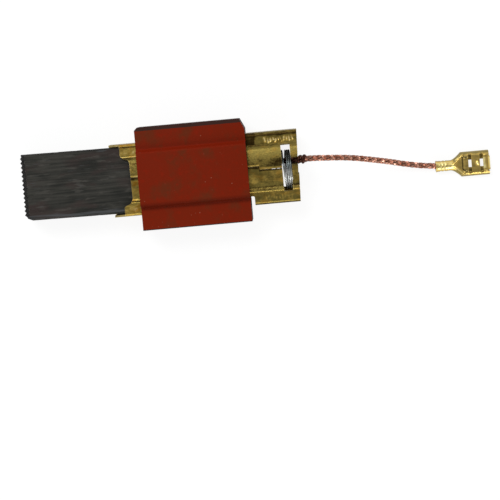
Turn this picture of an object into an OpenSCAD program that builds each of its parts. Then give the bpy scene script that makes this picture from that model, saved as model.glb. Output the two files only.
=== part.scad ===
// Carbon brush of an electric motor. The block slides in a folded sheet-metal
// holder, pushed by a coil spring, and an insulating sleeve carries the holder.
// A braided pigtail leaves the holder's rear and ends in a push-on terminal.
// X runs along the brush, with the contact face towards -X. Z is up, and Z = 0
// is the flat face of the sleeve, with X = 0 at the sleeve's middle.

/* [Carbon block] */
// Width of the carbon block
carbon_w = 16.4; // [13.5:0.1:18]
// Thickness of the carbon block
carbon_t = 6.3; // [5.5:0.1:7.2]
// Length of the carbon block, with its toothed end
carbon_l = 38.8; // [36:0.2:42]
// How far the block stands out of the holder's front
carbon_reach = 21.6; // [16:0.2:22.4]
// Number of teeth across the contact face
tooth_count = 15; // [9:1:19]
// Depth of the teeth
tooth_depth = 0.4; // [0.2:0.05:0.6]
// Lean of the contact face, in degrees
tip_lean = 16; // [0:1:20]
// Radius of the block's upright edge at the contact face, on the -Y side
tip_r = 1.2; // [0.4:0.1:1.8]
// Chamfer of the block's long edges
carbon_chamfer = 0.3; // [0.1:0.05:0.6]
// Depth of the hole that holds the pigtail
pigtail_hole_depth = 6; // [4:0.5:9]
// Radius of that hole
pigtail_hole_r = 1.5; // [1.2:0.05:2]

/* [Holder] */
// Thickness of the sheet
sheet_t = 0.5; // [0.4:0.05:0.6]
// Gap between block and holder, at each side
play_y = 0.3; // [0.2:0.05:0.5]
// Gap between block and holder, above and below
play_z = 0.15; // [0.1:0.05:0.3]
// Outer radius of the holder's long bends
bend_r = 0.9; // [0.7:0.05:1.2]
// Width of the raised channel, from crease to crease
channel_w = 11.6; // [11:0.1:12.4]
// Gap between spring and channel
spring_gap = 0.15; // [0.1:0.05:0.3]
// Distance from the sleeve's middle to the holder's rear end
holder_rear = 26.05; // [25.5:0.05:30]
// Slant of the holder's rear edge, in degrees
rear_lean = 2; // [0:0.5:4]
// Distance from the sleeve's middle to the front of the holder's lower channel
holder_front = 22.2; // [19:0.1:24]
// How far the lower wings stop short of the lower channel
lower_wing_step = 1.1; // [0.3:0.1:2]
// How far the upper wings stop short of the lower ones
upper_wing_step = 3.3; // [1.5:0.1:4]
// Depth of the cut-back in the upper channel
upper_cutback = 2.3; // [1:0.1:2.5]
// Length of the windows that hold the spring's end
window_l = 2.25; // [2:0.05:2.6]
// Width of the windows
window_w = 11.7; // [11:0.1:12.6]
// Width of the strip behind the windows
strip_l = 1.7; // [1.4:0.05:2.4]
// Length of the lower window's tapered part
taper_l = 2.7; // [1.5:0.1:4]
// Width of the seam where the folded edges meet
seam_gap = 0.12; // [0.08:0.02:0.2]
// Sideways step in the seam
seam_key_w = 0.9; // [0.6:0.05:1.6]
// Length of the seam's stepped part in front of the window
seam_key_l = 5.7; // [3:0.1:7.5]
// Width of the notch that holds the pigtail
notch_w = 1.9; // [1.8:0.05:2.2]
// Depth of the recess in the rear side wall
recess_d = 2.3; // [1.2:0.1:2.8]

/* [Insulating sleeve] */
// Length of the sleeve
sleeve_l = 27.2; // [22:0.2:28]
// Width of the sleeve
sleeve_w = 25.6; // [21.5:0.2:28]
// Wall of the sleeve above and below the holder
sleeve_wall = 1.25; // [0.9:0.05:1.6]
// Gap between sleeve and holder
sleeve_gap = 0.1; // [0.05:0.01:0.2]
// Width of the raised faces
plateau_w = 13.3; // [12.5:0.1:14.5]
// Run of the slopes beside the raised faces
slope_run = 0.6; // [0.5:0.1:1.5]
// Length of the chamfer at the rear corner
rear_chamfer_l = 1.2; // [0.5:0.1:2]
// Width of the chamfer at the rear corner
rear_chamfer_w = 2.5; // [0.8:0.1:3]
// Size of the chamfer at the front corner
front_chamfer = 0.7; // [0.3:0.1:1.5]

/* [Spring] */
// Diameter of the spring wire
wire_d = 0.42; // [0.36:0.02:0.48]
// Outer diameter of the working coils
spring_od = 9; // [8.4:0.1:9.6]
// Outer diameter of the end coils that sit in the windows
end_coil_od = 9.9; // [9.6:0.1:10.2]
// Number of working coils
working_coils = 11; // [7:1:13]
// Number of closed coils in the windows
end_coils = 3.5; // [2.5:1:4.5]
// Lean of the closed coils in the windows, in degrees
end_lean = 2.4; // [0:0.2:2.6]

/* [Pigtail and terminal] */
// Diameter of the braid
braid_d = 1.5; // [1.2:0.05:1.6]
// Diameter of the knot outside the holder
knot_d = 2.3; // [2:0.1:2.6]
// Thickness of the terminal's sheet
terminal_t = 0.32; // [0.25:0.01:0.4]
// Width of the terminal
terminal_w = 6.2; // [5.7:0.1:6.4]
// Height of the terminal
terminal_h = 2.3; // [2.1:0.05:2.6]
// Length of the terminal's socket
socket_l = 7.1; // [6.2:0.1:8]
// Gap between the socket's rolled edges
roll_gap = 1.85; // [1.6:0.05:3]
// Length of the flared neck
neck_l = 2.6; // [2:0.1:3]
// Length of the crimped barrel
barrel_l = 3.7; // [3.2:0.1:5]
// Wall of the crimped barrel
barrel_wall = 0.55; // [0.35:0.05:0.6]
// Gap between braid and barrel
barrel_gap = 0.05; // [0.03:0.01:0.1]

/* [Hidden] */
$fn = 48;
arc_step = 12;             // degrees between the points of a rounded corner
past = 1;                  // how far a cutter runs past the face it opens
far = 60;                  // longer than any cut needs

// Holder section
tube_in_w = carbon_w + 2 * play_y;
tube_w = tube_in_w + 2 * sheet_t;
tube_h = carbon_t + 2 * play_z + 2 * sheet_t;
channel_h = spring_od + 2 * spring_gap + 2 * sheet_t;
crown_slope = 12;
crease_r = 0.3;
step_run = 0.9;
shoulder_r = 1.6;
shoulder_y = channel_w / 2 - step_run;
crown_edge = shoulder_y / cos(crown_slope);
crown_r = 0.8 * crown_edge / tan(crown_slope);
crown_apex = channel_h / 2 + crown_r * (1 / cos(crown_slope) - 1);
shoulder_z = crown_apex - shoulder_y * tan(crown_slope);

// Sleeve section
flank_h = tube_h + 2 * sleeve_gap + 2 * sleeve_wall;
plateau_h = channel_h + 2 * sleeve_gap + 2 * sleeve_wall;
sleeve_edge_r = 0.35;
axis_z = plateau_h / 2;

// Places along the brush
tip_x = -holder_front - carbon_reach;
carbon_rear = tip_x + carbon_l;
window_rear = holder_rear - strip_l;
window_front = window_rear - window_l;
lower_wing_x = -holder_front + lower_wing_step;
upper_wing_x = lower_wing_x + upper_wing_step;
upper_channel_x = upper_wing_x + upper_cutback;
seam_key_x = window_front - seam_key_l;
taper_run = 2.6;           // how far the window's tapered part narrows at each side
window_y = -0.2;           // middle of the windows
seam_y = 0.2;              // middle of the seam's step
pigtail_y = 1.3;           // middle of the notch
strip_step_y = -2.2;       // where the rear edge steps back
strip_step = 0.2;
recess_l = 4.2;            // most of the recess lies under the sleeve
recess_rear = sleeve_l / 2 + 1.05;
recess_r = 0.35;

// Spring
working_r = (spring_od - wire_d) / 2;
end_r = (end_coil_od - wire_d) / 2;
coil_gap = 0.01;           // between closed coils
seat_gap = 0.05;           // between the spring's ends and what they press on
front_turns = 1;
ring_steps = 16;           // rings in one turn
wire_sides = 6;
end_stack = end_coils * (wire_d + coil_gap);
spring_rear = window_rear - seat_gap - wire_d / 2;
spring_front = carbon_rear + seat_gap + wire_d / 2;
stack_front = spring_rear - end_stack;
lead_front = spring_front + front_turns * (wire_d + coil_gap);
all_turns = end_coils + working_coils + front_turns;

// Terminal
terminal_y = -3.8;
barrel_x = 60.6;
neck_x = barrel_x + barrel_l;
socket_x = neck_x + neck_l;
mouth_x = socket_x + socket_l;
barrel_bore_r = braid_d / 2 + barrel_gap;
barrel_r = barrel_bore_r + barrel_wall;
roll_r = terminal_h / 2;
bell_l = 0.5;
bell = 0.12;               // how far the bell mouth flares
barrel_z = barrel_r + bell;
neck_lap = 0.3;            // how far the neck reaches over the barrel and into the socket
neck_middle = 0.4;         // share of the flare that is reached half-way along the neck
neck_corner_r = 0.8;
crimp_end = 0.3;           // from the barrel's neck end
crimp_l = 1.3;
crimp_dip = 0.1;
slot_l = 0.8;
slot_w = 4.95;
slot_places = [2.25, 5.15];  // from the socket's neck end
slot_depth = 0.62;         // down through the shoulders of the rolled edges
dimple_place = 4;
dimple_r = 0.5;
dimple_rise = 0.3;         // height of the dimple's centre over the socket
stop_l = 1.2;
stop_w = 3.45;
stop_slit = 0.14;
stop_place = 0.4;
lip_l = 0.1;
lip_w = 2.9;

// Route of the pigtail's middle line: inside the carbon, along the spring, up
// through the notch, and down to the terminal that lies on the surface
pigtail_route = [
    [-9.5, 0, 6.5], [-7, 0, 6.5], [-4.5, 0, 6.5], [-1.5, 0.2, 6.5], [2, 0.8, 6.5],
    [5.5, 1.2, 6.5], [9, 1.3, 6.5], [12.5, 1.3, 6.5], [16, 1.3, 6.5], [19, 1.3, 6.6],
    [21.5, 1.3, 7.4], [23.3, 1.3, 8.8], [24.9, 1.3, 10.2], [26.4, 1.4, 11.2], [28, 1.5, 11.6],
    [30.3, 1.45, 11.4], [33, 1.25, 10.7], [36, 1, 9.6], [39.2, 0.6, 8.2], [42.5, 0, 6.6],
    [46, -0.75, 5], [49.5, -1.54, 3.6], [53, -2.4, 2.5], [56.5, -3.1, 1.8], [59.4, -3.5, 1.5],
    [62, terminal_y, barrel_z], [65, terminal_y, barrel_z]
];
route_splits = 2;          // rings between two points of the route
braid_sides = 8;
knot_x = 27.4;
knot_half_l = 1.15;

// Unit vector along v
function unit(v) = v / norm(v);
// Left-hand normal of a plane vector
function left(v) = [-v[1], v[0]];
// Corner b of an outline that runs a, b, c, moved d to the left of its edges
function moved(a, b, c, d) =
    let (u = left(unit([b[0] - a[0], b[1] - a[1]])), w = left(unit([c[0] - b[0], c[1] - b[1]])),
         turn = sign(cross(left(u), left(w))),
         p = [b[0], b[1]] + d * (u + w) / (1 + u * w))
    [p[0], p[1], b[2] == 0 ? 0 : max(0.05, b[2] - d * turn)];
// Arc that rounds corner b between a and c, where b is [x, y, radius]
function rounded(a, b, c) =
    let (p = [b[0], b[1]], u = unit([a[0], a[1]] - p), w = unit([c[0], c[1]] - p),
         half = acos(u * w) / 2, middle = p + unit(u + w) * b[2] / sin(half),
         first = p + u * b[2] / tan(half) - middle, turn = -sign(cross(u, w)) * (180 - 2 * half),
         steps = max(1, ceil(abs(turn) / arc_step)))
    b[2] == 0 ? [p] :
    [for (i = [0:steps]) let (t = turn * i / steps)
        middle + [first[0] * cos(t) - first[1] * sin(t), first[0] * sin(t) + first[1] * cos(t)]];
// Outline of anticlockwise corners, moved inwards by inset and rounded
function outline(corners, inset = 0) =
    let (n = len(corners),
         c = [for (i = [0:n - 1]) moved(corners[(i + n - 1) % n], corners[i], corners[(i + 1) % n], inset)])
    [for (i = [0:n - 1]) each rounded(c[(i + n - 1) % n], c[i], c[(i + 1) % n])];
// Corners of a section that is the same upside down, from those of its upper half
function both_halves(upper) = concat(upper, [for (p = upper) [-p[0], -p[1], p[2]]]);

// Corners of the holder's section in Y and Z
tube_corners = both_halves([
    [tube_w / 2, tube_h / 2, bend_r],
    [channel_w / 2, tube_h / 2, crease_r],
    [shoulder_y, shoulder_z, shoulder_r],
    [0, crown_apex, crown_r],
    [-shoulder_y, shoulder_z, shoulder_r],
    [-channel_w / 2, tube_h / 2, crease_r],
    [-tube_w / 2, tube_h / 2, bend_r]
]);
// Corners of the sleeve's section in Y and Z
sleeve_corners = both_halves([
    [sleeve_w / 2, flank_h / 2, sleeve_edge_r],
    [plateau_w / 2 + slope_run, flank_h / 2, sleeve_edge_r],
    [plateau_w / 2, plateau_h / 2, sleeve_edge_r],
    [-plateau_w / 2, plateau_h / 2, sleeve_edge_r],
    [-plateau_w / 2 - slope_run, flank_h / 2, sleeve_edge_r],
    [-sleeve_w / 2, flank_h / 2, sleeve_edge_r]
]);

// A section in Y and Z, about the holder's axis, drawn out from x0 to x1
module along_x(x0, x1) {
    translate([x0, 0, axis_z]) rotate([90, 0, 90]) linear_extrude(x1 - x0) children();
}

// A plan outline as a cutter that runs from height z0 to z1
module plan_cut(z0, z1) {
    translate([0, 0, z0]) linear_extrude(z1 - z0) children();
}

// Toothed and leaning end that is cut from the block
module tip_cutter() {
    pitch = carbon_w / tooth_count;
    zigzag = [for (i = [0:tooth_count - 1]) each [
        [0, -carbon_w / 2 + i * pitch], [tooth_depth, -carbon_w / 2 + (i + 0.5) * pitch]]];
    side = carbon_w / 2 + past;
    translate([tip_x, 0, axis_z - carbon_t / 2]) rotate([0, tip_lean, 0]) translate([0, 0, -carbon_t])
        linear_extrude(3 * carbon_t) polygon(concat(
            [[-3 * carbon_t, side], [-3 * carbon_t, -side], [0, -side]],
            zigzag,
            [[0, carbon_w / 2], [0, side]]));
}

module carbon_block() {
    half = carbon_w / 2;
    c = carbon_chamfer;
    color("#37372f") difference() {
        intersection() {
            along_x(tip_x, carbon_rear) polygon(outline(both_halves([
                [half, carbon_t / 2 - c, 0], [half - c, carbon_t / 2, 0],
                [-half + c, carbon_t / 2, 0], [-half, carbon_t / 2 - c, 0]])));
            plan_cut(axis_z - carbon_t, axis_z + carbon_t) polygon(outline([
                [tip_x, -half, tip_r], [carbon_rear, -half, c],
                [carbon_rear, half, c], [tip_x, half, tip_r / 3]]));
        }
        tip_cutter();
        translate([carbon_rear - pigtail_hole_depth, 0, axis_z]) rotate([0, 90, 0])
            cylinder(r = pigtail_hole_r, h = pigtail_hole_depth + past);
    }
}

// Copper powder pressed round the braid, dished at its open end
module tamp_plug() {
    dish = 0.4;
    x0 = carbon_rear - pigtail_hole_depth;
    color("#8a5a3c") translate([x0, 0, axis_z]) rotate([0, 90, 0]) difference() {
        cylinder(r = pigtail_hole_r, h = pigtail_hole_depth - 0.1);
        translate([0, 0, pigtail_hole_depth - dish])
            cylinder(r1 = braid_d / 2, r2 = pigtail_hole_r - 0.1, h = dish);
        translate([0, 0, 1]) cylinder(r = braid_d / 2, h = pigtail_hole_depth);
    }
}

// Front edges of the holder: the lower half reaches further than the upper one
module lower_front() {
    edge = channel_w / 2 + 0.2;
    side = tube_w / 2 + past;
    polygon(outline([
        [-far, -side, 0], [lower_wing_x + 0.7, -side, 0], [lower_wing_x + 0.7, -tube_w / 2, 0],
        [lower_wing_x, -tube_w / 2 + 0.7, 0.3], [lower_wing_x, -edge, 0.3], [-holder_front, -edge + 0.8, 0.4],
        [-holder_front, edge - 0.8, 0.4], [lower_wing_x, edge, 0.3], [lower_wing_x, tube_w / 2 - 0.7, 0.3],
        [lower_wing_x + 0.7, tube_w / 2, 0], [lower_wing_x + 0.7, side, 0], [-far, side, 0]]));
}

module upper_front() {
    side = tube_w / 2 + past;
    crease = channel_w / 2;
    polygon(outline([
        [-far, -side, 0], [upper_wing_x, -side, 0], [upper_wing_x, -crease - 0.7, 0.4],
        [upper_channel_x - 0.8, -crease - 0.1, 0.4], [upper_channel_x, -crease + 1, 0.7],
        [upper_channel_x, crease - 1.2, 0.9], [upper_channel_x - 0.7, crease - 0.3, 0.3],
        [upper_wing_x, crease + 0.2, 0.5], [upper_wing_x, side, 0], [-far, side, 0]]));
}

// The window is as wide in both faces, and tapers forwards in the lower one
module window() {
    translate([window_front, window_y - window_w / 2]) square([window_l, window_w]);
}

module tapered_window() {
    half = window_w / 2;
    window();
    translate([0, window_y]) polygon([
        [window_front + past, -half], [window_front + past, half], [window_front, half],
        [window_front - taper_l, half - taper_run], [window_front - taper_l, -half + taper_run],
        [window_front, -half]]);
}

// Seam of the folded sheet, with its offset part, and the notch that ends it
module seam() {
    half = seam_gap / 2;
    front = seam_y + seam_key_w / 2;
    rear = seam_y - seam_key_w / 2;
    translate([-far, front - half]) square([far + seam_key_x + half, seam_gap]);
    translate([seam_key_x - half, rear - half]) square([seam_gap, seam_key_w + seam_gap]);
    translate([seam_key_x - half, rear - half]) square([window_front - seam_key_x + past, seam_gap]);
    translate([window_rear - past, pigtail_y - notch_w / 2]) square([far, notch_w]);
}

// Where the slanted rear edge of the holder lies at y
function rear_x(y) = holder_rear + y * tan(rear_lean);

// Rear edge of the holder, which steps back on the -Y side
module rear_end() {
    side = tube_w / 2 + past;
    polygon([
        [rear_x(-side) + strip_step, -side], [rear_x(strip_step_y) + strip_step, strip_step_y],
        [rear_x(strip_step_y), strip_step_y], [rear_x(side), side], [far, side], [far, -side]]);
}

module brush_tube() {
    low = axis_z - channel_h;
    high = axis_z + channel_h;
    wall_top = axis_z + tube_h / 2 - bend_r;
    color("#8f7a3a") difference() {
        along_x(-holder_front, holder_rear + past) difference() {
            polygon(outline(tube_corners));
            polygon(outline(tube_corners, sheet_t));
        }
        plan_cut(low, high) lower_front();
        plan_cut(wall_top, high) upper_front();
        plan_cut(low, axis_z) tapered_window();
        plan_cut(axis_z, high) window();
        plan_cut(axis_z, high) seam();
        plan_cut(low, high) rear_end();
        plan_cut(low, high) polygon(outline([
            [recess_rear - recess_l, -tube_w / 2 - past, 0], [recess_rear, -tube_w / 2 - past, 0],
            [recess_rear, -tube_w / 2 + recess_d, recess_r],
            [recess_rear - recess_l, -tube_w / 2 + recess_d, recess_r]]));
    }
}

module insulating_sleeve() {
    half_l = sleeve_l / 2;
    half_w = sleeve_w / 2;
    color("#732314") difference() {
        along_x(-half_l, half_l) polygon(outline(sleeve_corners));
        along_x(-half_l - past, half_l + past) polygon(outline(tube_corners, -sleeve_gap));
        plan_cut(-past, plateau_h + past) polygon([
            [half_l - rear_chamfer_l, half_w], [half_l - rear_chamfer_l, half_w + past],
            [half_l + past, half_w + past], [half_l + past, half_w - rear_chamfer_w],
            [half_l, half_w - rear_chamfer_w]]);
        plan_cut(-past, plateau_h + past) polygon([
            [-half_l + front_chamfer, half_w], [-half_l, half_w - front_chamfer],
            [-half_l - past, half_w - front_chamfer], [-half_l - past, half_w + past],
            [-half_l + front_chamfer, half_w + past]]);
    }
}

// Point of the spring's middle line, t turns in front of its rear end. The closed
// coils lean back at the top
function coil_x(t) =
    t < end_coils ? spring_rear - t * (wire_d + coil_gap) :
    t < end_coils + working_coils ?
        stack_front + (lead_front - stack_front) * (t - end_coils) / working_coils :
    lead_front - (t - end_coils - working_coils) * (wire_d + coil_gap);
function opened(t) = max(0, min(1, t - end_coils));
function coil_r(t) = end_r + (working_r - end_r) * opened(t);
function coil_point(t) =
    let (up = coil_r(t) * sin(-90 - 360 * t))
    [coil_x(t) + tan(end_lean) * (1 - opened(t)) * up, coil_r(t) * cos(-90 - 360 * t), axis_z + up];

// Tube with flat sides round a line of points, each with its own radius
module swept(points, radii, sides) {
    n = len(points);
    rings = [for (i = [0:n - 1])
        let (d = unit(points[min(i + 1, n - 1)] - points[max(i - 1, 0)]),
             side = unit(cross(d, abs(d[0]) > 0.6 ? [0, 0, 1] : [1, 0, 0])), up = cross(side, d))
        for (k = [0:sides - 1])
            let (a = 360 * (k + 0.5) / sides) points[i] + radii[i] * (cos(a) * side + sin(a) * up)];
    walls = [for (i = [0:n - 2]) for (k = [0:sides - 1])
        let (a = i * sides + k, b = i * sides + (k + 1) % sides)
            each [[a, a + sides, b], [b, a + sides, b + sides]]];
    polyhedron(rings, concat(walls, [[for (k = [0:sides - 1]) k]],
        [[for (k = [sides - 1:-1:0]) (n - 1) * sides + k]]));
}

module spring() {
    turns = [for (i = [0:all_turns * ring_steps]) i / ring_steps];
    color("#a5a6a8") swept([for (t = turns) coil_point(t)], [for (t = turns) wire_d / 2], wire_sides);
}

// Point of a smooth curve through b and c, a share f of the way between them
function between(a, b, c, d, f) =
    b + f * (c - a) / 2 + f * f * (a - 2.5 * b + 2 * c - d / 2) + f * f * f * (3 * b - a - 3 * c + d) / 2;
// Radius of the braid, which is thicker at the knot
function braid_r(x) = let (s = abs(x - knot_x) / knot_half_l)
    braid_d / 2 + (s < 1 ? (knot_d - braid_d) / 2 * pow(cos(90 * s), 0.5) : 0);

module pigtail() {
    r = pigtail_route;
    n = len(r);
    points = concat([for (i = [0:n - 2]) for (k = [0:route_splits - 1])
        between(r[max(i - 1, 0)], r[i], r[i + 1], r[min(i + 2, n - 1)], k / route_splits)], [r[n - 1]]);
    color("#b5714f") swept(points, [for (p = points) braid_r(p[0])], braid_sides);
}

// Socket's section: a flat top whose edges roll under
module socket_section() {
    t = terminal_t;
    flat = terminal_w / 2 - roll_r;
    translate([-flat, terminal_h - t]) square([2 * flat, t]);
    for (side = [0, 1]) mirror([side, 0]) {
        translate([flat, roll_r]) intersection() {
            difference() {
                circle(roll_r);
                circle(roll_r - t);
            }
            translate([0, -terminal_h]) square([terminal_h, 2 * terminal_h]);
        }
        translate([roll_gap / 2, 0]) square([flat - roll_gap / 2, t]);
    }
}

// Section with the neck's rounded upper corners, at the socket's width
module neck_section() {
    half = terminal_w / 2;
    polygon(outline([
        [-half, 0, 0], [half, 0, 0], [half, terminal_h, neck_corner_r], [-half, terminal_h, neck_corner_r]]));
}

// Plan of the neck, whose sides flare outwards from the barrel to the socket
module neck_plan(inset) {
    side = [
        [neck_x - neck_lap, barrel_r], [neck_x, barrel_r],
        [neck_x + neck_l / 2, barrel_r + neck_middle * (terminal_w / 2 - barrel_r)],
        [socket_x, terminal_w / 2]];
    polygon(concat([for (p = side) [p[0], inset - p[1]]],
        [for (i = [len(side) - 1:-1:0]) [side[i][0], side[i][1] - inset]]));
}

// Barrel profile in X and radius: a bell mouth, a crimped waist and a plain end
module barrel_profile() {
    r = barrel_r;
    slope = crimp_l / 4;
    rear = barrel_l - crimp_end;
    front = rear - crimp_l;
    polygon([[barrel_bore_r, 0], [r + bell, 0], [r, bell_l], [r, front],
        [r - crimp_dip, front + slope], [r - crimp_dip, rear - slope],
        [r, rear], [r, barrel_l], [barrel_bore_r, barrel_l]]);
}

// Dimple pressed down into the socket, as a ball with its centre at height z
module dimple(z, above = 0) {
    translate([socket_x + dimple_place, 0, 0]) intersection() {
        translate([0, 0, z]) sphere(dimple_r);
        cylinder(r = 2 * dimple_r, h = terminal_h - terminal_t / 2 + above);
    }
}

module terminal() {
    t = terminal_t;
    plate_z = terminal_h - t;
    color("#c2a860") translate([0, terminal_y, 0]) difference() {
        union() {
            translate([barrel_x, 0, barrel_z]) rotate([0, 90, 0]) rotate_extrude() barrel_profile();
            difference() {
                intersection() {
                    plan_cut(barrel_r, terminal_h) neck_plan(0);
                    translate([neck_x - neck_lap, 0, 0]) rotate([90, 0, 90])
                        linear_extrude(neck_lap + neck_l + past) neck_section();
                }
                plan_cut(0, plate_z) neck_plan(t);
            }
            translate([socket_x - neck_lap, -lip_w / 2, plate_z]) cube([2 * neck_lap, lip_w, t]);
            translate([socket_x, 0, 0]) rotate([90, 0, 90]) linear_extrude(socket_l) socket_section();
            translate([mouth_x - past, -lip_w / 2, plate_z]) cube([lip_l + past, lip_w, t]);
            dimple(terminal_h + dimple_rise - t);
        }
        dimple(terminal_h + dimple_rise, far);
        translate([barrel_x - past, -seam_gap / 2, -past])
            cube([barrel_l + past, seam_gap, past + barrel_z]);
        for (place = slot_places)
            translate([socket_x + place - slot_l / 2, -slot_w / 2, terminal_h - slot_depth])
                cube([slot_l, slot_w, far]);
        translate([socket_x + stop_place, 0, plate_z - past]) linear_extrude(far) difference() {
            translate([0, -stop_w / 2]) square([stop_l, stop_w]);
            translate([stop_slit, -stop_w / 2 + stop_slit]) square([stop_l, stop_w - 2 * stop_slit]);
        }
    }
}

carbon_block();
tamp_plug();
pigtail();
terminal();
brush_tube();
spring();
insulating_sleeve();
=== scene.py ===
"""Dresses the carbon brush: a toothed carbon block that a coil spring pushes out of a folded brass
holder, with an insulating sleeve round the holder and a braided pigtail with a push-on terminal.

Sizes are in millimetres, and every mesh is made in metres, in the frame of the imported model.
"""

import logging
import math
from dataclasses import dataclass, field
from enum import Enum, IntEnum
from typing import Callable, Sequence

import bmesh
import bpy
import numpy as np
from mathutils import Matrix, Vector, noise


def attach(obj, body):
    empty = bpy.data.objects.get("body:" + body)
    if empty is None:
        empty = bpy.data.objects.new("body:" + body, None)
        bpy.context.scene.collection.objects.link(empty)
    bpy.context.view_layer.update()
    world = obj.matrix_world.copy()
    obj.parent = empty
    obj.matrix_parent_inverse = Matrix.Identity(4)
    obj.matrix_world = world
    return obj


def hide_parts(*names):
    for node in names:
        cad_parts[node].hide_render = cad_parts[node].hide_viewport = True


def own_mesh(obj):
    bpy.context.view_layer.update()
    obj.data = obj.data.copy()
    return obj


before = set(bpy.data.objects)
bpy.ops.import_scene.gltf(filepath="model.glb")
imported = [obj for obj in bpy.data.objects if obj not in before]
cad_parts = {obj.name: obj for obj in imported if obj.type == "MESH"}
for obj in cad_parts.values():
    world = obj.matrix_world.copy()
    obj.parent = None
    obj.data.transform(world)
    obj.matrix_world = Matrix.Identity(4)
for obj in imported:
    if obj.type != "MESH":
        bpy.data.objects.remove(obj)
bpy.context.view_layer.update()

MM = 0.001
log = logging.getLogger("carbon_brush")

Point = tuple[float, float, float]
Colour = tuple[float, float, float]


class Body(Enum):
    """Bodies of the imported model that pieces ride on."""

    HOLDER = "holder"
    BRUSH = "brush"


class Socket(Enum):
    """Kinds of input that a geometry tree takes."""

    LENGTH = "NodeSocketFloat"
    COUNT = "NodeSocketInt"


# ---------------------------------------------------------------- outlines


def unit(v: np.ndarray) -> np.ndarray:
    """Unit vector along v."""
    return v / np.linalg.norm(v)


def rounded_outline(corners: Sequence[Point], inset: float = 0.0, step: float = 6.0) -> np.ndarray:
    """Outline of anticlockwise corners, moved inwards and rounded.

    Args:
        corners: (across, up, radius) of each corner.
        inset: how far the outline moves inwards.
        step: degrees between the points of a rounded corner.

    Returns:
        The outline's points, one row each.
    """
    count = len(corners)
    moved = []
    for i, (x, y, radius) in enumerate(corners):
        here = np.array([x, y])
        back = unit(here - np.array(corners[i - 1][:2]))
        ahead = unit(np.array(corners[(i + 1) % count][:2]) - here)
        left_back, left_ahead = np.array([-back[1], back[0]]), np.array([-ahead[1], ahead[0]])
        turn = np.sign(back[0] * ahead[1] - back[1] * ahead[0])
        place = here + inset * (left_back + left_ahead) / (1 + left_back @ left_ahead)
        moved.append((place, max(0.05, radius - inset * turn) if radius else 0.0))
    points = []
    for i, (here, radius) in enumerate(moved):
        back, ahead = unit(moved[i - 1][0] - here), unit(moved[(i + 1) % count][0] - here)
        if not radius:
            points.append(here)
            continue
        half = math.acos(float(np.clip(back @ ahead, -1, 1))) / 2
        middle = here + unit(back + ahead) * radius / math.sin(half)
        first = here + back * radius / math.tan(half) - middle
        sweep = -np.sign(back[0] * ahead[1] - back[1] * ahead[0]) * (math.pi - 2 * half)
        steps = max(1, math.ceil(math.degrees(abs(sweep)) / step))
        for k in range(steps + 1):
            a = sweep * k / steps
            points.append(middle + np.array([first[0] * math.cos(a) - first[1] * math.sin(a),
                                             first[0] * math.sin(a) + first[1] * math.cos(a)]))
    return np.array(points)


def both_halves(upper: Sequence[Point]) -> list[Point]:
    """Corners of a section that looks the same upside down, from those of its upper half."""
    return list(upper) + [(-x, -y, r) for x, y, r in upper]


def walk_along(points: np.ndarray) -> np.ndarray:
    """Distance of each point from the first one, along the line through them."""
    return np.concatenate([[0], np.cumsum(np.linalg.norm(np.diff(points, axis=0), axis=1))])


def heading(line: np.ndarray, i: int) -> np.ndarray:
    """Direction of a line at its point i."""
    return unit(line[min(i + 1, len(line) - 1)] - line[max(i - 1, 0)])


def smooth(t: float) -> float:
    """Eases a share from 0 to 1."""
    t = min(1.0, max(0.0, t))
    return t * t * (3 - 2 * t)


def grain(x: float, y: float, z: float, size: float) -> float:
    """Soft noise from -1 to 1 whose lumps are about size millimetres wide."""
    return noise.noise(Vector((x, y, z)) / size)


# ---------------------------------------------------------------- meshes


def add_object(name: str, mesh: bpy.types.Mesh) -> bpy.types.Object:
    """Links a new object for the mesh at the origin."""
    piece = bpy.data.objects.new(name, mesh)
    bpy.context.scene.collection.objects.link(piece)
    return piece


def make_piece(name: str, points: np.ndarray, faces: Sequence[Sequence[int]],
               marks: dict[str, np.ndarray] | None = None,
               edges: Sequence[tuple[int, int]] = ()) -> bpy.types.Object:
    """Makes an object from points in millimetres.

    Args:
        name: the piece's name.
        points: one row for each vertex.
        faces: vertex numbers of each face.
        marks: values for each vertex, by attribute name.
        edges: vertex numbers of each loose edge.

    Returns:
        The new object.
    """
    mesh = bpy.data.meshes.new(name)
    mesh.from_pydata((np.asarray(points, float) * MM).tolist(), list(edges), [list(f) for f in faces])
    for mark, values in (marks or {}).items():
        mesh.attributes.new(mark, "FLOAT", "POINT").data.foreach_set("value", np.asarray(values, np.float32))
    mesh.validate()
    return add_object(name, mesh)


def ring_walls(rings: int, around: int, closed: bool = False) -> list[tuple[int, ...]]:
    """Faces between rings of points.

    Args:
        rings: number of rings.
        around: number of points in each ring.
        closed: whether the last ring is joined to the first one.

    Returns:
        The vertex numbers of each face.
    """
    return [(k * around + i, k * around + (i + 1) % around,
             (k + 1) % rings * around + (i + 1) % around, (k + 1) % rings * around + i)
            for k in range(rings if closed else rings - 1) for i in range(around)]


def face_outwards(piece: bpy.types.Object) -> None:
    """Merges doubles and turns all faces outwards."""
    form = bmesh.new()
    form.from_mesh(piece.data)
    bmesh.ops.remove_doubles(form, verts=form.verts, dist=0.002 * MM)
    bmesh.ops.recalc_face_normals(form, faces=form.faces)
    form.to_mesh(piece.data)
    form.free()


def face_from_axis(piece: bpy.types.Object, y: float, z: float) -> None:
    """Turns a bent sheet's faces away from the line along X at y and z, in millimetres."""
    votes = 0
    for face in piece.data.polygons:
        away = face.center - Vector((face.center.x, y * MM, z * MM))
        votes += 1 if face.normal.dot(away) > 0 else -1
    if votes < 0:
        piece.data.flip_normals()


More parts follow.
